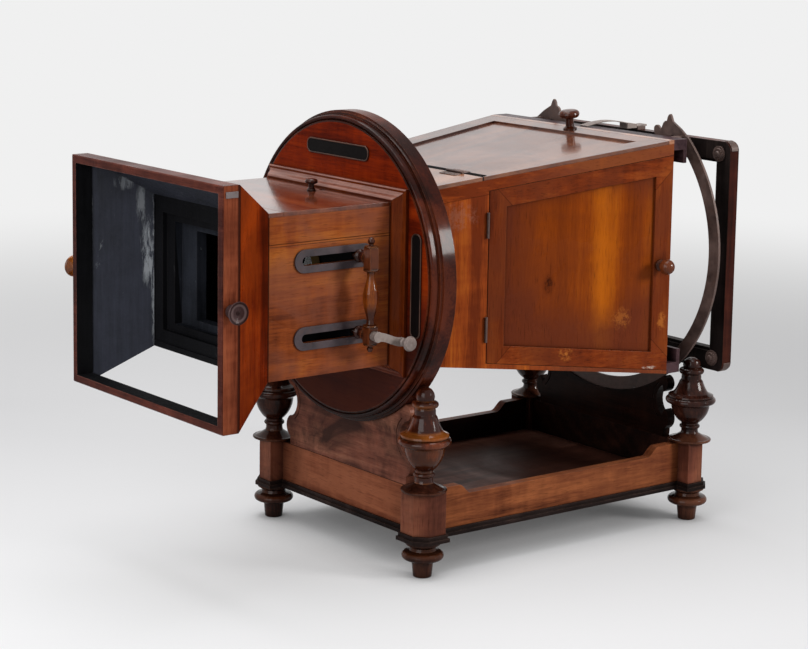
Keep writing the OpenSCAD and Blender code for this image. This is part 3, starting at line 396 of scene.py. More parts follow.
def wood(name, tones, grain="Y", lines=0.25, size=1.0, spread=0.15, ripple=0.35, fibres=0.4,
         seed=0.0, shift=0.0, mitre=None, rail=None, knot=None, cloud=0.4, veil=None, glow=None,
         wear=0.4, edge=None, rub=0.0018, spots=(), bands=(), rings=None, crease_dirt_and_shade=0.75, joints=(),
         rough=0.3, coat=0.0, gloss=0.04):
    """Polished wood in three sRGB tones, dark, mid and light.

    Figure: grain is the axis it runs along, lines, ripple and fibres the strengths of the growth
    lines, of the waver across the grain and of the fine grain, size the scale of the figure,
    spread how far apart its dark and light lie; seed and shift (along Y) choose its place.
    mitre = (two axes, centre, half sizes) turns the grain at the corners of a mitred frame, rail
    = (normal, d, grain) gives another grain beyond a plane, knot is (centre, radius).
    Polish: cloud and veil are the strength and colour of its clouds, and glow = (centre, radii,
    strength) keeps the wood clear round a point and darkens it toward the veil away from it, which
    is painted shade on the disc and the tray.
    Wear: wear is its strength, edge its colour, rub its width along edges, spots are worn places
    (centre, radii, strength, colour), bands are rubbed levels (z, half height, strength). rings =
    (y, z, list of (radius, half width, strength, colour)) are dark and light rings round an axis
    along X.
    Dirt and painted shade: crease_dirt_and_shade is the strength of the darkening in corners and
    hollows, found by ambient occlusion, partly dirt and partly painted shade; joints are dark lines
    (normal, d, half width, strength). rough, coat and gloss are the polish's roughness, coat and
    specular level."""
    s = Wood(name, tones, edge, seed, shift)
    joints = list(joints)
    if mitre:
        field = s.lay_mitre(mitre)
    elif rail:
        field = s.lay_rail(grain, rail)
        joints.append((*rail[:2], *RAIL_LINE))
    else:
        field = s.along(grain)
    if knot:
        field = s.bend_round(field, *knot)
    s.draw_figure(field, grain, lines, size, ripple, fibres, spread)
    if mitre:
        s.over(s.math("MULTIPLY", s.end_bars, 0.35), s.dark)
    s.cloud_over(cloud, glow, veil)
    if knot:
        s.draw_knot(*knot)
    s.wear_down(wear, rub, spots, bands)
    if rings:
        s.draw_rings(*rings)
    # Corners and hollows darkened by ambient occlusion: dirt in them, and painted shade.
    s.over(s.span(s.open_air(0.018, 4), 0.35, 0.95, crease_dirt_and_shade, 0.0), s.deep)
    weight = s.draw_joints(joints, coat)
    if mitre:
        s.over(s.math("MULTIPLY", s.seams, 0.85), s.deep)
    normal = s.bump(s.pores, 0.2, 0.0004, s.round_edges(WOOD_BEVEL))
    normal = s.bump(s.fibre, 0.08, 0.0006, normal)
    return s.surface({
        "Base Color": s.colour, "Specular IOR Level": gloss,
        "Coat Weight": weight, "Coat Roughness": 0.1,
        "Roughness": s.span(s.patches, 0.3, 0.75, rough * 0.75, rough * 1.5),
        "Normal": s.bump(s.patches, 0.12, 0.004, normal)})


def black_stain(name, tone, light, spots=(), scuffed=0.15, rough=0.6, grain="Z", gloss=0.2):
    """Black-stained wood, brushed along the grain, rubbed pale in places. light is how much
    lighter its clouds are; spots are worn places, each (centre, radii, strength)."""
    s = Shader(name)
    cloud = s.noise(s.coord, 8.0, 6.0, 0.68)
    brush = s.noise(s.scaled(GRAIN[grain]), 90.0, 4.0, 0.7)
    grit = s.noise(s.coord, 280.0, 3.0, 0.7)
    body = s.math("ADD", s.math("MULTIPLY", cloud, 0.6), s.math("MULTIPLY", brush, 0.4))
    colour = s.mix(s.span(body, 0.38, 0.64), tone, times(tone, light))
    chips = s.noise(s.scaled((1, 1.2, 0.35)), 42.0, 8.0, 0.76, 0.5)
    colour = s.mix(s.span(chips, 0.64, 0.7, 0.0, scuffed), colour, BARED)
    if spots:
        flakes = s.span(s.noise(s.scaled((1, 1, 0.16)), 150.0, 8.0, 0.8, 0.4), 0.42, 0.6)
    for centre, radii, strength in spots:
        mask = s.math("MULTIPLY", s.near(centre, radii), flakes)
        colour = s.mix(s.span(mask, 0.1, 0.45, 0.0, strength), colour, BARED)
    rubbed = s.math("MULTIPLY", s.edge_mask(WORN_RIM), s.span(cloud, 0.4, 0.6, 0.0, 0.35))
    return s.surface({
        "Base Color": s.mix(rubbed, colour, BROWNED), "Specular IOR Level": gloss,
        "Roughness": s.span(grit, 0.3, 0.7, rough * 0.85, rough * 1.2),
        "Normal": s.bump(grit, 0.2, 0.0005, s.round_edges(0.0008))})


def metal(name, dark, light, rough, metallic, rust, edge_light):
    """Old metal with tarnish clouds, fine brushing, rust and rubbed edges."""
    s = Shader(name)
    dark, light = srgb(*dark), srgb(*light)
    cloud = s.noise(s.coord, 24.0, 6.0, 0.68)
    fine = s.noise(s.coord, 600.0, 2.0, 0.6)
    colour = s.mix(s.span(cloud, 0.36, 0.66), dark, light)
    if rust:
        stains = s.noise(s.coord, 75.0, 6.0, 0.74)
        colour = s.mix(s.span(stains, 0.52, 0.68, 0.0, rust), colour, RUST)
    bright = tuple(min(1.0, c * 2.0 + 0.03) for c in light)
    return s.surface({
        "Base Color": s.mix(s.math("MULTIPLY", s.edge_mask(WORN_RIM), edge_light), colour, bright),
        "Metallic": metallic, "Specular IOR Level": 0.4,
        "Roughness": s.span(cloud, 0.3, 0.7, rough * 0.75, rough * 1.35),
        "Normal": s.bump(fine, 0.12, 0.0003, s.round_edges(0.0007))})


def glass(name):
    """Slightly dusty clear glass."""
    s = Shader(name)
    dust = s.noise(s.coord, 90.0, 6.0, 0.7)
    return s.surface({"Base Color": (0.93, 0.97, 0.96, 1), "Transmission Weight": 1.0, "IOR": 1.52,
                      "Roughness": s.span(dust, 0.5, 0.8, 0.02, 0.12)})


# ---------- the materials of the object ----------

def at_y(y, half, strength):
    """Joint line across the viewer."""
    return ((0, 1, 0), y, half, strength)


def at_z(z, half, strength):
    """Level joint line."""
    return ((0, 0, 1), z, half, strength)


FLARE_JOINT = at_y(FRAME_BACK_Y, 0.003, 0.95)
LID_JOINT = at_y(LID_JOINT_Y, 0.0016, 0.97)
PALE, ORANGE = srgb(206, 196, 184), srgb(178, 104, 44)  # bared wood and chips in the doors' polish

# The arguments of wood() after the name.
WOODS = {
    # Tube, with its joints to the flare and the root moulding and a chipped corner.
    "tube_wood": dict(
        tones=((92, 42, 22), (142, 70, 32), (176, 100, 42)), lines=0.15, seed=1.0, cloud=0.6,
        veil=srgb(126, 74, 56), edge=srgb(166, 112, 78),
        joints=[at_z(0.533, 0.0007, 0.85), at_y(TUBE_FRONT_Y, 0.0016, 0.9),
                # The line at z 0.5748 is the lid's seam, drawn dark also as painted shadow under the
                # lid's edge.
                at_y(-0.326, 0.0025, 0.95), at_z(0.5748, 0.0012, 0.9)],
        spots=[((0.161, -0.548, 0.577), (0.02, 0.012, 0.008), 0.7, srgb(196, 184, 172))]),
    "tube_lid_wood": dict(
        tones=((88, 40, 22), (132, 68, 40), (160, 92, 56)), grain="X", rough=0.14, coat=0.6,
        gloss=0.2, seed=2.0),
    # Disc, clear and red above; its lower part, under the tube, is painted nearly black as the
    # tube's shade.
    "disc_wood": dict(
        tones=((84, 20, 4), (130, 39, 7), (156, 58, 13)), grain="X", lines=0.3, size=0.8,
        gloss=0.02, seed=3.0, wear=0.2, veil=srgb(41, 27, 24),
        glow=((0.06, -0.306, 0.64), (0.5, 0.1, 0.36), 0.85)),
    "rim_wood": dict(
        tones=((34, 10, 5), (60, 21, 11), (90, 38, 20)), grain="X", rough=0.2, coat=0.14,
        gloss=0.03, wear=0.6, edge=srgb(160, 96, 62), seed=4.0),
    # Root moulding round the tube, its top faces painted paler: a painted sheen for the reflection
    # of the light above.
    "root_wood": dict(
        tones=((62, 17, 5), (98, 35, 10), (132, 60, 22)), grain="Z", lines=0.3, seed=5.0,
        mitre=("XZ", (0.0, AXIS_Z), (0.161, 0.125)), coat=0.06, gloss=0.02, rough=0.2),
    "root_top_sheen_wood": dict(
        tones=((88, 42, 30), (132, 80, 64), (158, 106, 90)), grain="X", lines=0.3, rough=0.2,
        coat=0.4, gloss=0.2, seed=5.5),
    # Hood: the flare, the sides of its frame, and the frame's front, top and bottom.
    "flare_wood": dict(
        tones=((66, 17, 3), (112, 34, 7), (146, 56, 14)), grain="Z", lines=0.3, size=1.2,
        rough=0.28, gloss=0.03, seed=6.0, wear=0.55, edge=srgb(186, 118, 84),
        joints=[FLARE_JOINT, at_y(TUBE_FRONT_Y, 0.0012, 0.85)]),
    "hood_frame_wood": dict(
        tones=((98, 43, 25), (158, 84, 55), (186, 108, 72)), grain="Z", lines=0.2, seed=7.0,
        wear=0.8, edge=srgb(172, 122, 104), mitre=("XZ", (0.0, AXIS_Z), (0.199, 0.1673)),
        joints=[FLARE_JOINT]),
    "hood_rim_wood": dict(
        tones=((44, 16, 13), (72, 31, 24), (104, 52, 40)), grain="X", lines=0.2, seed=7.5,
        wear=1.0, edge=srgb(164, 108, 92), rub=0.0026, cloud=0.5),
    # Box: sides with a top rail and a worn place above the door, lid, and board in front of it.
    "box_side_wood": dict(
        tones=((114, 46, 16), (160, 72, 25), (194, 102, 34)), grain="Z", lines=0.2, rough=0.32,
        seed=8.0, cloud=0.35, veil=srgb(100, 52, 36),
        rail=((0.0, -math.sin(RAIL_SLOPE), math.cos(RAIL_SLOPE)),
              RAIL_POINT[1] * math.cos(RAIL_SLOPE) - RAIL_POINT[0] * math.sin(RAIL_SLOPE), "Y"),
        spots=[((0.163, -0.20, 0.545), (0.03, 0.06, 0.035), 0.35, srgb(160, 112, 92))],
        glow=((0.16, -0.25, 0.45), (0.5, 0.3, 0.5), 0.8)),
    "top_wood": dict(
        tones=((70, 32, 18), (104, 56, 34), (130, 78, 50)), rough=0.2, coat=0.55, gloss=0.3,
        seed=10.0, cloud=0.3, wear=0.6, edge=srgb(150, 86, 44), joints=[LID_JOINT]),
    "box_top_wood": dict(
        tones=((92, 48, 28), (142, 88, 58), (172, 114, 80)), rough=0.2, coat=0.6, gloss=0.3,
        seed=10.5, cloud=0.3, wear=0.6, edge=srgb(160, 96, 52), joints=[LID_JOINT]),
    # Stand: long rails, cross rails, corner posts, tray and its inner sides.
    "stand_wood": dict(
        tones=((58, 25, 14), (126, 70, 42), (166, 98, 58)), lines=0.3, seed=11.0, wear=0.6,
        rough=0.34, cloud=0.45, veil=srgb(84, 40, 28), ripple=0.25),
    "stand_cross_wood": dict(
        tones=((60, 28, 18), (130, 70, 46), (164, 98, 68)), grain="X", lines=0.3, seed=12.0,
        wear=0.6, rough=0.36, cloud=0.7, veil=srgb(70, 38, 28),
        glow=((0.02, -0.3, 0.105), (0.19, 0.2, 0.2), 0.7), joints=[at_z(0.1331, 0.0012, 0.9)]),
    "post_wood": dict(
        tones=((56, 27, 19), (118, 67, 51), (148, 92, 68)), grain="Z", lines=0.12, seed=13.0,
        wear=0.6, spread=0.2, fibres=0.2, cloud=0.8, veil=srgb(62, 34, 28)),
    # Tray: clear at the front, darkening toward the back as painted shade under the box above.
    "tray_wood": dict(
        tones=((60, 33, 25), (106, 66, 54), (136, 96, 82)), lines=0.3, seed=14.0, wear=0.5,
        rough=0.36, gloss=0.03, cloud=0.6, glow=((0.12, -0.2, 0.077), (0.28, 0.26, 0.2), 0.85)),
    # Inner sides of the rails, nearly black: painted shade under the box above.
    "tray_side_shaded_wood": dict(
        tones=((20, 9, 7), (40, 21, 16), (62, 36, 27)), lines=0.3, seed=14.5, wear=0.4, rough=0.4),
    # Turned work: near front finial with amber bands, the far one painted darker as shade in the
    # wood that the caps and feet also take, the rear finials, knobs and the focus handle.
    "turned_wood": dict(
        tones=((50, 19, 10), (106, 48, 26), (156, 84, 46)), grain="Z", lines=0.2, seed=15.0,
        rough=0.1, coat=0.28, gloss=0.06, wear=0.9, edge=srgb(168, 96, 34), rub=0.005,
        crease_dirt_and_shade=0.95, cloud=0.35, veil=srgb(64, 26, 12),
        bands=[(0.268, 0.005, 0.6), (0.226, 0.006, 0.55), (0.195, 0.022, 0.12)]),
    "turned_dark_and_shaded_wood": dict(
        tones=((30, 12, 8), (62, 31, 21), (92, 54, 38)), grain="Z", lines=0.2, seed=16.0,
        rough=0.12, coat=0.16, wear=0.7, edge=srgb(132, 74, 38), rub=0.005, crease_dirt_and_shade=0.9,
        bands=[(0.041, 0.008, 0.15)]),
    "turned_rear_wood": dict(
        tones=((30, 13, 9), (64, 33, 25), (98, 60, 45)), grain="Z", lines=0.2, seed=16.5,
        rough=0.12, coat=0.2, gloss=0.05, wear=0.6, rub=0.005, edge=srgb(128, 70, 40),
        crease_dirt_and_shade=0.9),
    "knob_wood": dict(
        tones=((34, 12, 7), (70, 29, 16), (108, 54, 28)), grain="Z", lines=0.2, seed=17.0,
        rough=0.14, coat=0.2, gloss=0.08, wear=0.5, edge=srgb(150, 92, 50), rub=0.004,
        crease_dirt_and_shade=0.9),
    "handle_wood": dict(
        tones=((44, 17, 6), (84, 34, 8), (140, 70, 16)), grain="Z", lines=0.15, seed=17.5,
        rough=0.08, coat=0.3, gloss=0.05, wear=0.5, edge=srgb(196, 122, 50), rub=0.004,
        crease_dirt_and_shade=0.9, veil=srgb(52, 21, 12),
        glow=((0.193, -0.386, 0.452), (0.06, 0.06, 0.034), 0.92)),
    "hood_knob_wood": dict(
        tones=((52, 32, 31), (78, 58, 58), (100, 80, 80)), grain="Z", lines=0.3, seed=22.0,
        rough=0.42, coat=0.04, wear=0.5, edge=srgb(134, 106, 100),
        rings=(-0.6478, AXIS_Z, [(0.0148, 0.002, 0.8, srgb(34, 16, 14)),
                                 (0.0115, 0.0022, 0.5, srgb(112, 92, 90)),
                                 (0.0, 0.0035, 0.9, srgb(30, 14, 12))])),
    # Far hood knob, painted lighter amber: painted light, standing for light from the left.
    "amber_knob_painted_light_wood": dict(
        tones=((84, 42, 16), (150, 82, 32), (196, 122, 54)), grain="Z", lines=0.2, seed=22.5,
        rough=0.14, coat=0.4, gloss=0.12, rub=0.004, crease_dirt_and_shade=0.9),
    # Cradle boards, plinth and the picture frames at the rear.
    "cradle_wood": dict(
        tones=((72, 40, 30), (128, 76, 60), (156, 102, 80)), grain="X", lines=0.3, seed=18.0,
        wear=0.6, cloud=0.9, veil=srgb(46, 27, 23)),
    # Rear cradle board, nearly black: painted shade, as it stands in the shadow under the box.
    "cradle_rear_shaded_wood": dict(
        tones=((18, 8, 5), (34, 16, 11), (50, 27, 18)), grain="X", lines=0.3, seed=18.5,
        wear=0.5),
    "ebonised_wood": dict(
        tones=((22, 15, 14), (42, 31, 29), (62, 48, 44)), lines=0.3, seed=19.0, wear=0.6,
        rough=0.42, edge=srgb(120, 90, 76)),
    "frame_black_wood": dict(
        tones=((20, 16, 15), (36, 29, 28), (54, 45, 42)), grain="Z", lines=0.3, seed=24.0,
        wear=0.6, rough=0.42, edge=srgb(96, 82, 76)),
    "frame_side_wood": dict(
        tones=((34, 13, 9), (58, 24, 17), (84, 40, 28)), grain="Z", lines=0.4, seed=20.0,
        wear=0.9, edge=srgb(30, 24, 24)),
    "channel_wood": dict(
        tones=((32, 20, 22), (58, 40, 44), (82, 60, 64)), grain="X", lines=0.3, seed=23.0,
        wear=0.5, edge=srgb(136, 100, 90)),
}

# The arguments of black_stain() after the name; the tones here are linear.
STAINS = {
    "black_inside": dict(tone=(0.0028, 0.0028, 0.0034), light=2.2, gloss=0.05),
    "frame_inside_black": dict(tone=(0.0035, 0.0035, 0.004), light=2.6, gloss=0.06),
    "mouth_panel_black": dict(tone=(0.004, 0.0045, 0.006), light=5.0, scuffed=0.4, gloss=0.08),
    # Inside of the hood, with brushed scuffs on its far wall.
    "hood_inside": dict(
        tone=(0.0095, 0.0105, 0.0155), light=3.0, scuffed=0.35, spots=[
            ((-0.157, -0.557, 0.478), (0.02, 0.015, 0.07), 0.9),
            ((-0.163, -0.566, 0.556), (0.02, 0.01, 0.045), 0.5),
            ((-0.175, -0.589, 0.590), (0.02, 0.024, 0.016), 0.4),
            ((-0.153, -0.5495, 0.45), (0.006, 0.006, 0.15), 0.8),
            ((-0.199, -0.634, 0.545), (0.005, 0.004, 0.1), 0.8)]),
    "plate_black": dict(tone=(0.004, 0.0032, 0.0032), light=1.8, rough=0.45, scuffed=0.05,
                        gloss=0.04),
    # Black sheet along the lid's hinge edge, painted shade of the recess there.
    "edge_shade_strip_black": dict(tone=(0.003, 0.003, 0.003), light=1.8, rough=0.7, scuffed=0.1,
                             grain="X", gloss=0.02),
}

# The arguments of metal() after the name: dark, light, roughness, metallic, rust, rubbed edges.
METALS = {
    "plate_edge": ((46, 30, 24), (92, 62, 48), 0.45, 0.3, 0.2, 0.6),
    "slot_metal": ((40, 32, 36), (74, 62, 66), 0.5, 0.3, 0.3, 0.3),
    "dark_iron": ((60, 46, 42), (100, 80, 74), 0.5, 0.3, 0.4, 0.8),
    "grey_steel": ((106, 94, 90), (142, 130, 124), 0.5, 0.4, 0.3, 0.3),
    "worn_steel": ((88, 78, 78), (116, 106, 106), 0.55, 0.3, 0.4, 0.3),
    "old_brass": ((52, 40, 22), (96, 76, 42), 0.4, 1.0, 0.0, 0.3),
}


def make_materials():
    """Every material of the object but the doors', by name."""
    made = {name: wood(name, **settings) for name, settings in WOODS.items()}
    made.update((name, black_stain(name, **settings)) for name, settings in STAINS.items())
    made.update((name, metal(name, *settings)) for name, settings in METALS.items())
    made["lens_glass"] = glass("lens_glass")
    return made


# ---------- dressing the CAD nodes ----------

# Nodes with one finish, by the finish.
PLAIN = {
    "post_wood": ["corner_posts"],
    "tray_wood": ["floor_board"],
    "ebonised_wood": ["plinth_moulding"],
    "turned_dark_and_shaded_wood": ["feet", "post_caps"],
    "turned_rear_wood": ["rear_finials"],
    "cradle_wood": ["front_cradle"],
    "cradle_rear_shaded_wood": ["rear_cradle"],
    "disc_wood": ["turning_disc"],
    "rim_wood": ["disc_rim"],
    "plate_black": ["bare_plates"],
    "tube_lid_wood": ["tube_lid"],
    "black_inside": ["lens_board"],
    "slot_metal": ["slot_plates"],
    "top_wood": ["lid_frame", "lid_panel"],
    "box_top_wood": ["box_top"],
    "dark_iron": ["box_hinges", "rear_hoop", "hoop_standoffs", "frame_rods", "frame_irons"],
    "channel_wood": ["top_channel", "bottom_channel"],
    "grey_steel": ["crank_lever", "crank_knob", "spring_strap"],
    "old_brass": ["lens_cell"],
    "lens_glass": ["lens_glass"],
    "knob_wood": ["tube_lid_knob", "lid_knob", "right_door_knob", "left_door_knob",
                  "carriage_arms"],
    "handle_wood": ["focus_handle"],
}

# Nodes with a second finish on the faces that look some way: outer finish, second finish, the
# directions, and the least cosine between a direction and the normal of such a face.
TWO_FACED = {
    "root_moulding": ("root_wood", "root_top_sheen_wood", [UP], 0.35),
    "tube_left": ("tube_wood", "black_inside", [RIGHT, FRONT], 0.5),
    "tube_right": ("tube_wood", "black_inside", [LEFT, FRONT], 0.5),
    "tube_top": ("tube_lid_wood", "black_inside", [DOWN, FRONT], 0.5),
    "tube_floor": ("tube_wood", "black_inside", [UP, FRONT], 0.5),
    "flare_left": ("flare_wood", "hood_inside", [RIGHT], 0.3),
    "flare_right": ("flare_wood", "hood_inside", [LEFT], 0.3),
    "flare_top": ("flare_wood", "hood_inside", [DOWN], 0.3),
    "box_left": ("box_side_wood", "black_inside", [RIGHT], 0.5),
    "box_right": ("box_side_wood", "black_inside", [LEFT], 0.5),
    "box_floor": ("top_wood", "black_inside", [UP], 0.5),
    "left_rail": ("stand_wood", "tray_side_shaded_wood", [RIGHT], 0.5),
    "right_rail": ("stand_wood", "tray_side_shaded_wood", [LEFT], 0.5),
    "front_rail": ("stand_cross_wood", "tray_side_shaded_wood", [BACK], 0.5),
    "rear_rail": ("stand_cross_wood", "tray_side_shaded_wood", [FRONT], 0.5),
}
MOUTH_STEP_Y = -0.53     # the mouth frame's panel lies behind this
FRAME_EDGE = 0.016       # how deep the rear frame's outer edge is dressed
DOOR_SLANT = 0.022       # how far a door's mitres meet inside its box, for its slanted top
CORNER_PLATE_UP = 0.1    # the steel corner plate is this far above the hood knobs' axis


def paint(node, *materials, choose=lambda normal, centre: 0):
    """Gives a node its materials; choose() says which one a face takes."""
    mesh = NODES[node].data
    mesh.materials.clear()
    for material in materials:
        mesh.materials.append(material)
    for face in mesh.polygons:
        face.material_index = choose(face.normal, face.center)


def looks(directions, cosine):
    """Chooses the second material for the faces that look in one of the directions."""
    return lambda normal, centre: int(any(normal.dot(d) > cosine for d in directions))


def dress(made):
    """Materials of the CAD nodes."""
    for finish, nodes in PLAIN.items():
        for node in nodes:
            paint(node, made[finish])
    for node, (outer, second, directions, cosine) in TWO_FACED.items():
        paint(node, made[outer], made[second], choose=looks(directions, cosine))
    # The far front finial (x < 0) takes the darker wood as painted shade.
    paint("front_finials", made["turned_wood"], made["turned_dark_and_shaded_wood"],
          choose=lambda n, c: int(c.x < 0))
    paint("mouth_frame", made["black_inside"], made["mouth_panel_black"],
          choose=lambda n, c: int(c.y > MOUTH_STEP_Y))
    low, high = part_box("hood_frame")
    middle = (low + high) / 2

    def hood_face(n, c):
        """Outer sides 0, the frame's opening 1, its front, back, top and bottom 2."""
        if abs(n.y) < 0.5 and (c - middle).x * n.x + (c - middle).z * n.z < 0:
            return 1
        return 0 if abs(n.x) > 0.9 else 2

    def hood_fitting(n, c):
        """Near knob 0, corner plate 1, far knob 2, which is painted lighter amber as light from the
        left.
        """
        if c.z > middle.z + CORNER_PLATE_UP:
            return 1
        return 2 if c.x < 0 else 0
    paint("hood_frame", made["hood_frame_wood"], made["frame_inside_black"],
          made["hood_rim_wood"], choose=hood_face)
    paint("hood_knobs", made["hood_knob_wood"], made["worn_steel"], made["amber_knob_painted_light_wood"],
          choose=hood_fitting)
    low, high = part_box("rear_frame")
    rear, half = (low + high) / 2, (high - low) / 2

    def frame_face(n, c):
        """Faces on the frame's outer edge 1, all others 0."""
        edge = max(abs(c.x - rear.x) - half.x, abs(c.z - rear.z) - half.z) > -FRAME_EDGE
        return int(edge and abs(n.y) < 0.5)
    paint("rear_frame", made["frame_black_wood"], made["frame_side_wood"], choose=frame_face)
    dress_door("left", -1, 20.0, 30.0, ((-0.195, 0.06, 0.52), 0.012))
    dress_door("right", 1, 22.0, 32.0, ((0.184, -0.0255, 0.4276), 0.013), marks=[
        ((0.218, 0.166, 0.276), (0.02, 0.020, 0.005), 0.85, PALE),
        ((0.200, 0.006, 0.313), (0.02, 0.024, 0.022), 0.8, ORANGE),
        ((0.222, 0.188, 0.352), (0.02, 0.014, 0.022), 0.7, ORANGE)])


def dress_door(name, side, frame_seed, panel_seed, knot, marks=()):
    """Door: a mitred frame with upright stiles and level rails, and a flame-figured panel."""
    low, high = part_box(name + "_door_frame")
    centre, half = (low + high) / 2, (high - low) / 2
    paint(name + "_door_frame", wood(
        name + "_door_frame_wood", ((76, 28, 11), (122, 51, 19), (154, 76, 30)), lines=0.2,
        mitre=("YZ", centre.yz, (half.y, half.z - DOOR_SLANT)), seed=frame_seed, wear=0.45,
        rough=0.26, cloud=0.7, veil=srgb(102, 46, 24), edge=srgb(164, 98, 56), spots=marks,
        joints=[at_y(low.y, 0.0012, 0.9)]))
    paint(name + "_door_panel", wood(
        name + "_door_panel_wood", ((94, 37, 9), (136, 60, 9), (178, 92, 15)), grain="Z",
        lines=0.08, size=0.6, spread=0.2, ripple=0.12, fibres=0.25, seed=panel_seed, shift=-0.1,
        knot=knot, rough=0.24, wear=0.25, cloud=0.75, veil=srgb(94, 42, 26),
        glow=((side * 0.195, 0.06, 0.475), (0.6, 0.19, 0.14), 0.8),
        spots=[((0.2, 0.115, 0.36), (0.03, 0.03, 0.03), 0.45, ORANGE)]))


# ---------- small fastenings and trim ----------

def new_piece(name, form, material, body):
    """Piece made of a bmesh, riding on a body and finished with the material given."""
    bmesh.ops.recalc_face_normals(form, faces=form.faces)
    mesh = bpy.data.meshes.new(name)
    form.to_mesh(mesh)
    form.free()
    mesh.materials.append(material)
    piece = bpy.data.objects.new(name, mesh)
    bpy.context.scene.collection.objects.link(piece)
    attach(piece, body)


def add_form(form, part, matrix):
    """Adds one bmesh to another through a matrix, and frees it."""
    part.transform(matrix)
    mesh = bpy.data.meshes.new("part")
    part.to_mesh(mesh)
    part.free()
    form.from_mesh(mesh)
    bpy.data.meshes.remove(mesh)


def skin(form, rings, loop=False):
    """Faces from each ring of points to the next: joined up in a loop, or with two end faces."""
    pairs = zip(rings[-1:] + rings, rings) if loop else zip(rings, rings[1:])
    for low, high in pairs:
        for i in range(len(low)):
            form.faces.new((low[i], low[i - 1], high[i - 1], high[i]))
    if not loop:
        form.faces.new(rings[0])
        form.faces.new(rings[-1])


def rounded(length, width, corner, step):
    """Outline of a rectangle with round corners: each point, and the angle it faces."""
    outline = []
    for sx, sy, start in ((1, 1, 0), (-1, 1, 90), (-1, -1, 180), (1, -1, 270)):
        for turn in range(0, 91, step):
            a = math.radians(start + turn)
            outline.append((sx * (length / 2 - corner) + corner * math.cos(a),
                            sy * (width / 2 - corner) + corner * math.sin(a), a))
    return outline


def dome(profile):
    """Closed solid turned about Z from (radius, height) pairs that run from rim to crown."""
    steps = 24
    part = bmesh.new()
    skin(part, [[part.verts.new((r * math.cos(a), r * math.sin(a), h))
                 for a in (2 * math.pi * i / steps for i in range(steps))] for r, h in profile])
    return part


def add_screw(form, place, axis, radius, turn):
    """Slotted round screw head: two half domes on a low disc."""
    seat = Matrix.Translation(place) @ axis.to_track_quat("Z", "Y").to_matrix().to_4x4()
    seat = seat @ Matrix.Rotation(turn, 4, "Z")
    half_slot = radius * 0.14
    profile = [(radius * r, radius * h) for r, h in (
        (1.0, -0.1), (1.0, 0.06), (0.94, 0.24), (0.76, 0.4), (0.5, 0.5), (0.22, 0.55))]
    for side in (1, -1):
        part = dome(profile)
        cut = bmesh.ops.bisect_plane(
            part, geom=part.verts[:] + part.edges[:] + part.faces[:],
            plane_co=(0, side * half_slot, 0), plane_no=(0, side, 0), clear_inner=True)
        bmesh.ops.edgenet_fill(part, edges=[e for e in cut["geom_cut"]
                                            if isinstance(e, bmesh.types.BMEdge)])
        add_form(form, part, seat)
    add_form(form, dome([(radius * 0.96, -radius * 0.1), (radius * 0.96, radius * 0.16)]), seat)


def add_leaf(form, place, up, length, width, thick, corner):
    """Flat leaf along X with rounded corners and softened edges, lying on a surface."""
    run = Vector((1.0, 0.0, 0.0))
    seat = Matrix.Translation(place) @ Matrix((run, up.cross(run), up)).transposed().to_4x4()
    part = bmesh.new()
    outline = rounded(length, width, corner, 30)
    skin(part, [[part.verts.new((x * k, y * k, z)) for x, y, _ in outline]
                for k, z in ((1.0, -thick * 0.2), (1.0, thick * 0.7), (0.975, thick))])
    add_form(form, part, seat)


def plate_bead(name, x, z, upright, material):
    """Raised bead round a bare plate on the disc's face."""
    length, height, bead = 0.158, 0.022, 0.0011
    form = bmesh.new()
    rings = []
    for u, w, facing in rounded(length, height, 0.42 * height, 15):
        ring = []
        for b in (math.radians(45 * i) for i in range(8)):
            out = bead * math.cos(b)
            du, dw = u + out * math.cos(facing), w + out * math.sin(facing)
            if upright:
                du, dw = dw, du
            ring.append(form.verts.new((x + du, DISC_FACE_Y - bead * 0.9 * math.sin(b), z + dw)))
        rings.append(ring)
    skin(form, rings, loop=True)
    new_piece(name, form, material, "viewer")


def make_trim(made):
    """Leaves and screws of the lid's hinges, its dark edge strip, a black sheet that paints the
    shade of the recess at the lid's hinge edge, and beads of the bare plates.
    """
    up = Vector((0.0, -TOP_RISE, TOP_RUN)).normalized()

    def on_top(x, y):
        return Vector((x, y, TOP_FRONT[1] + TOP_RISE * (y - TOP_FRONT[0]) / TOP_RUN))
    hinge_x, leaf_y = 0.101, 0.0098
    length, width, thick, corner = 0.040, 0.0125, 0.0009, 0.0015
    screw, spacing = 0.0026, 0.0135
    for name, body, way in (("board", "viewer", -1), ("lid", "top_lid", 1)):
        form = bmesh.new()
        for side in (-1, 1):
            middle = on_top(side * hinge_x, LID_PIN_Y + way * leaf_y)
            add_leaf(form, middle, up, length, width, thick, corner)
            for k, x in enumerate((-spacing, 0.0, spacing)):
                place = middle + Vector((x, 0, 0)) + up * thick
                add_screw(form, place, up, screw, 0.5 + 1.1 * k + side)
        new_piece("lid_hinge_leaves_" + name, form, made["dark_iron"], body)
    # Dark edge strip: painted shade of the recess along the lid's hinge edge.
    form = bmesh.new()
    add_leaf(form, on_top(0.0, STRIP_Y), up, length=0.330, width=0.0085, thick=0.0006,
             corner=0.001)
    new_piece("lid_edge_shade_strip", form, made["edge_shade_strip_black"], "top_lid")
    plate_bead("plate_bead_top", 0.0, 0.642, False, made["plate_edge"])
    plate_bead("plate_bead_side", 0.2015, AXIS_Z, True, made["plate_edge"])


# ---------- camera, lamps and floor ----------

BACKDROP = srgb(240, 240, 240)
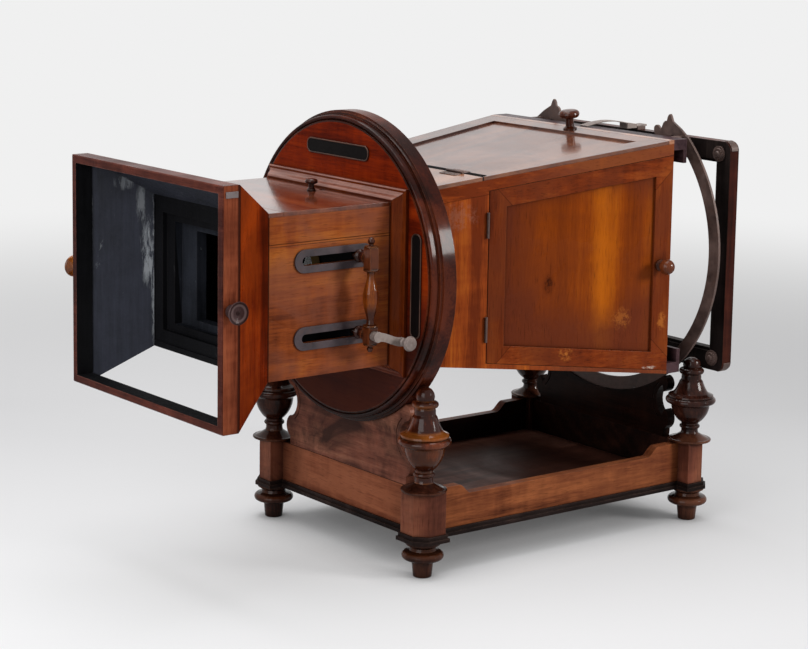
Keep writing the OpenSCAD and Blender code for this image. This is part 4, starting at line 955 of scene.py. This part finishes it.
# The floor's paper: colour for the light it bounces, colour in view, and the even light that it
# gives in view. That light dims a little to the back and to the right of the studio view, painted
# shade for the lamps' fall-off, and near the object, a painted contact shadow.
PAPER_LIT, PAPER_SEEN = srgb(176, 176, 178), srgb(160, 160, 162)
PAPER_LIFT = (0.47, 0.47, 0.47)
TO_DEPTH, TO_SIDE = (-0.811, 0.585, 0), (0.585, 0.811, 0)  # along the floor: back, and right
LAMPS = (  # name, place, point it aims at, side, watts, colour
    ("lamp_top", (-0.4, -0.15, 2.8), (0, -0.1, 0.4), 2.2, 68, (1, 1, 1)),
    ("lamp_side", (2.7, 1.9, 1.5), (0, 0, 0.45), 0.85, 78, (1, 0.985, 0.96)),
    ("lamp_front", (1.1, -3.3, 1.6), (0, -0.3, 0.5), 2.6, 72, (1, 1, 1)),
)


def make_camera():
    """Camera of the studio view."""
    place = Vector((2.8277, -2.4022, 1.0720))
    yaw, pitch, roll = (math.radians(v) for v in (54.224, -8.957, 0.548))
    ahead = Vector((-math.sin(yaw) * math.cos(pitch), math.cos(yaw) * math.cos(pitch),
                    math.sin(pitch)))
    level = Vector((math.cos(yaw), math.sin(yaw), 0))
    rise = level.cross(ahead)
    right = math.cos(roll) * level + math.sin(roll) * rise
    up = -math.sin(roll) * level + math.cos(roll) * rise
    data = bpy.data.cameras.new("camera")
    data.sensor_width = 36
    data.lens = 101.18
    data.shift_x = 0.12
    data.shift_y = -0.12
    camera = bpy.data.objects.new("camera", data)
    camera.matrix_world = Matrix((right, up, -ahead)).transposed().to_4x4()
    camera.matrix_world.translation = place
    bpy.context.scene.collection.objects.link(camera)
    bpy.context.scene.camera = camera
    bpy.context.scene.view_settings.view_transform = "Standard"


def make_light():
    """Three soft lamps, a little even light, and the backdrop that the camera sees."""
    for name, place, aim, side, watts, colour in LAMPS:
        data = bpy.data.lights.new(name, "AREA")
        data.size = side
        data.energy = watts
        data.color = colour
        lamp = bpy.data.objects.new(name, data)
        lamp.location = place
        lamp.rotation_mode = "QUATERNION"
        lamp.rotation_quaternion = (Vector(aim) - Vector(place)).to_track_quat("-Z", "Y")
        bpy.context.scene.collection.objects.link(lamp)
    world = bpy.data.worlds.new("world")
    world.use_nodes = True
    bpy.context.scene.world = world
    w = Nodes(world.node_tree)
    even = w.glow("ShaderNodeBackground", (1, 1, 1), 0.1)
    backdrop = w.glow("ShaderNodeBackground", BACKDROP)
    w.link(w.mix_shader(w.seen(), even, backdrop),
           w.add("ShaderNodeOutputWorld").inputs[0])


def make_floor():
    """Round pale paper that keeps the object's shadow, darkens a little with depth and to the right
    as painted shade, has a painted contact shadow near the object, and fades into the backdrop far
    from the object."""
    mesh = bpy.data.meshes.new("floor")
    form = bmesh.new()
    bmesh.ops.create_circle(form, cap_ends=True, segments=96, radius=30.0)
    form.to_mesh(mesh)
    form.free()
    floor = bpy.data.objects.new("floor", mesh)
    floor.location.z = -0.0005  # just under the feet
    bpy.context.scene.collection.objects.link(floor)
    s = Shader("floor_paper")
    lit = s.bsdf.outputs[0]
    s.surface({"Base Color": (*PAPER_LIT, 1), "Roughness": 0.9, "Specular IOR Level": 0.1})
    # Painted shade: the even light dims to the back and to the right, for the lamps' fall-off.
    depth = s.span(s.level(TO_DEPTH, 0.0), -0.6, 0.8, 1.1, 0.7)
    aside = s.span(s.level(TO_SIDE, 0.0), -0.9, 0.8, 1.05, 0.76, smooth=True)
    # Painted contact shadow: the even light dims by ambient occlusion near the object.
    shade = s.span(s.open_air(0.14, 8), 0.15, 0.85, 0.1, 1.0)
    strength = s.math("MULTIPLY", s.math("MULTIPLY", aside, shade), depth)
    diffuse = s.add("ShaderNodeBsdfDiffuse")
    diffuse.inputs[0].default_value = (*PAPER_SEEN, 1)
    lifted = s.add("ShaderNodeAddShader")
    s.link(diffuse.outputs[0], lifted.inputs[0])
    s.link(s.glow("ShaderNodeEmission", PAPER_LIFT, strength), lifted.inputs[1])
    seen = s.seen()
    xyz = s.axes()
    far = s.span(s.hypot(xyz[0], xyz[1]), 1.2, 3.7, smooth=True)
    fade = s.mix_shader(s.math("MULTIPLY", seen, far),
                        s.mix_shader(seen, lit, lifted.outputs[0]),
                        s.glow("ShaderNodeEmission", BACKDROP))
    s.link(fade, s.out.inputs[0])
    mesh.materials.append(s.mat)


make_camera()
make_light()
make_floor()
MATERIALS = make_materials()
dress(MATERIALS)
make_trim(MATERIALS)
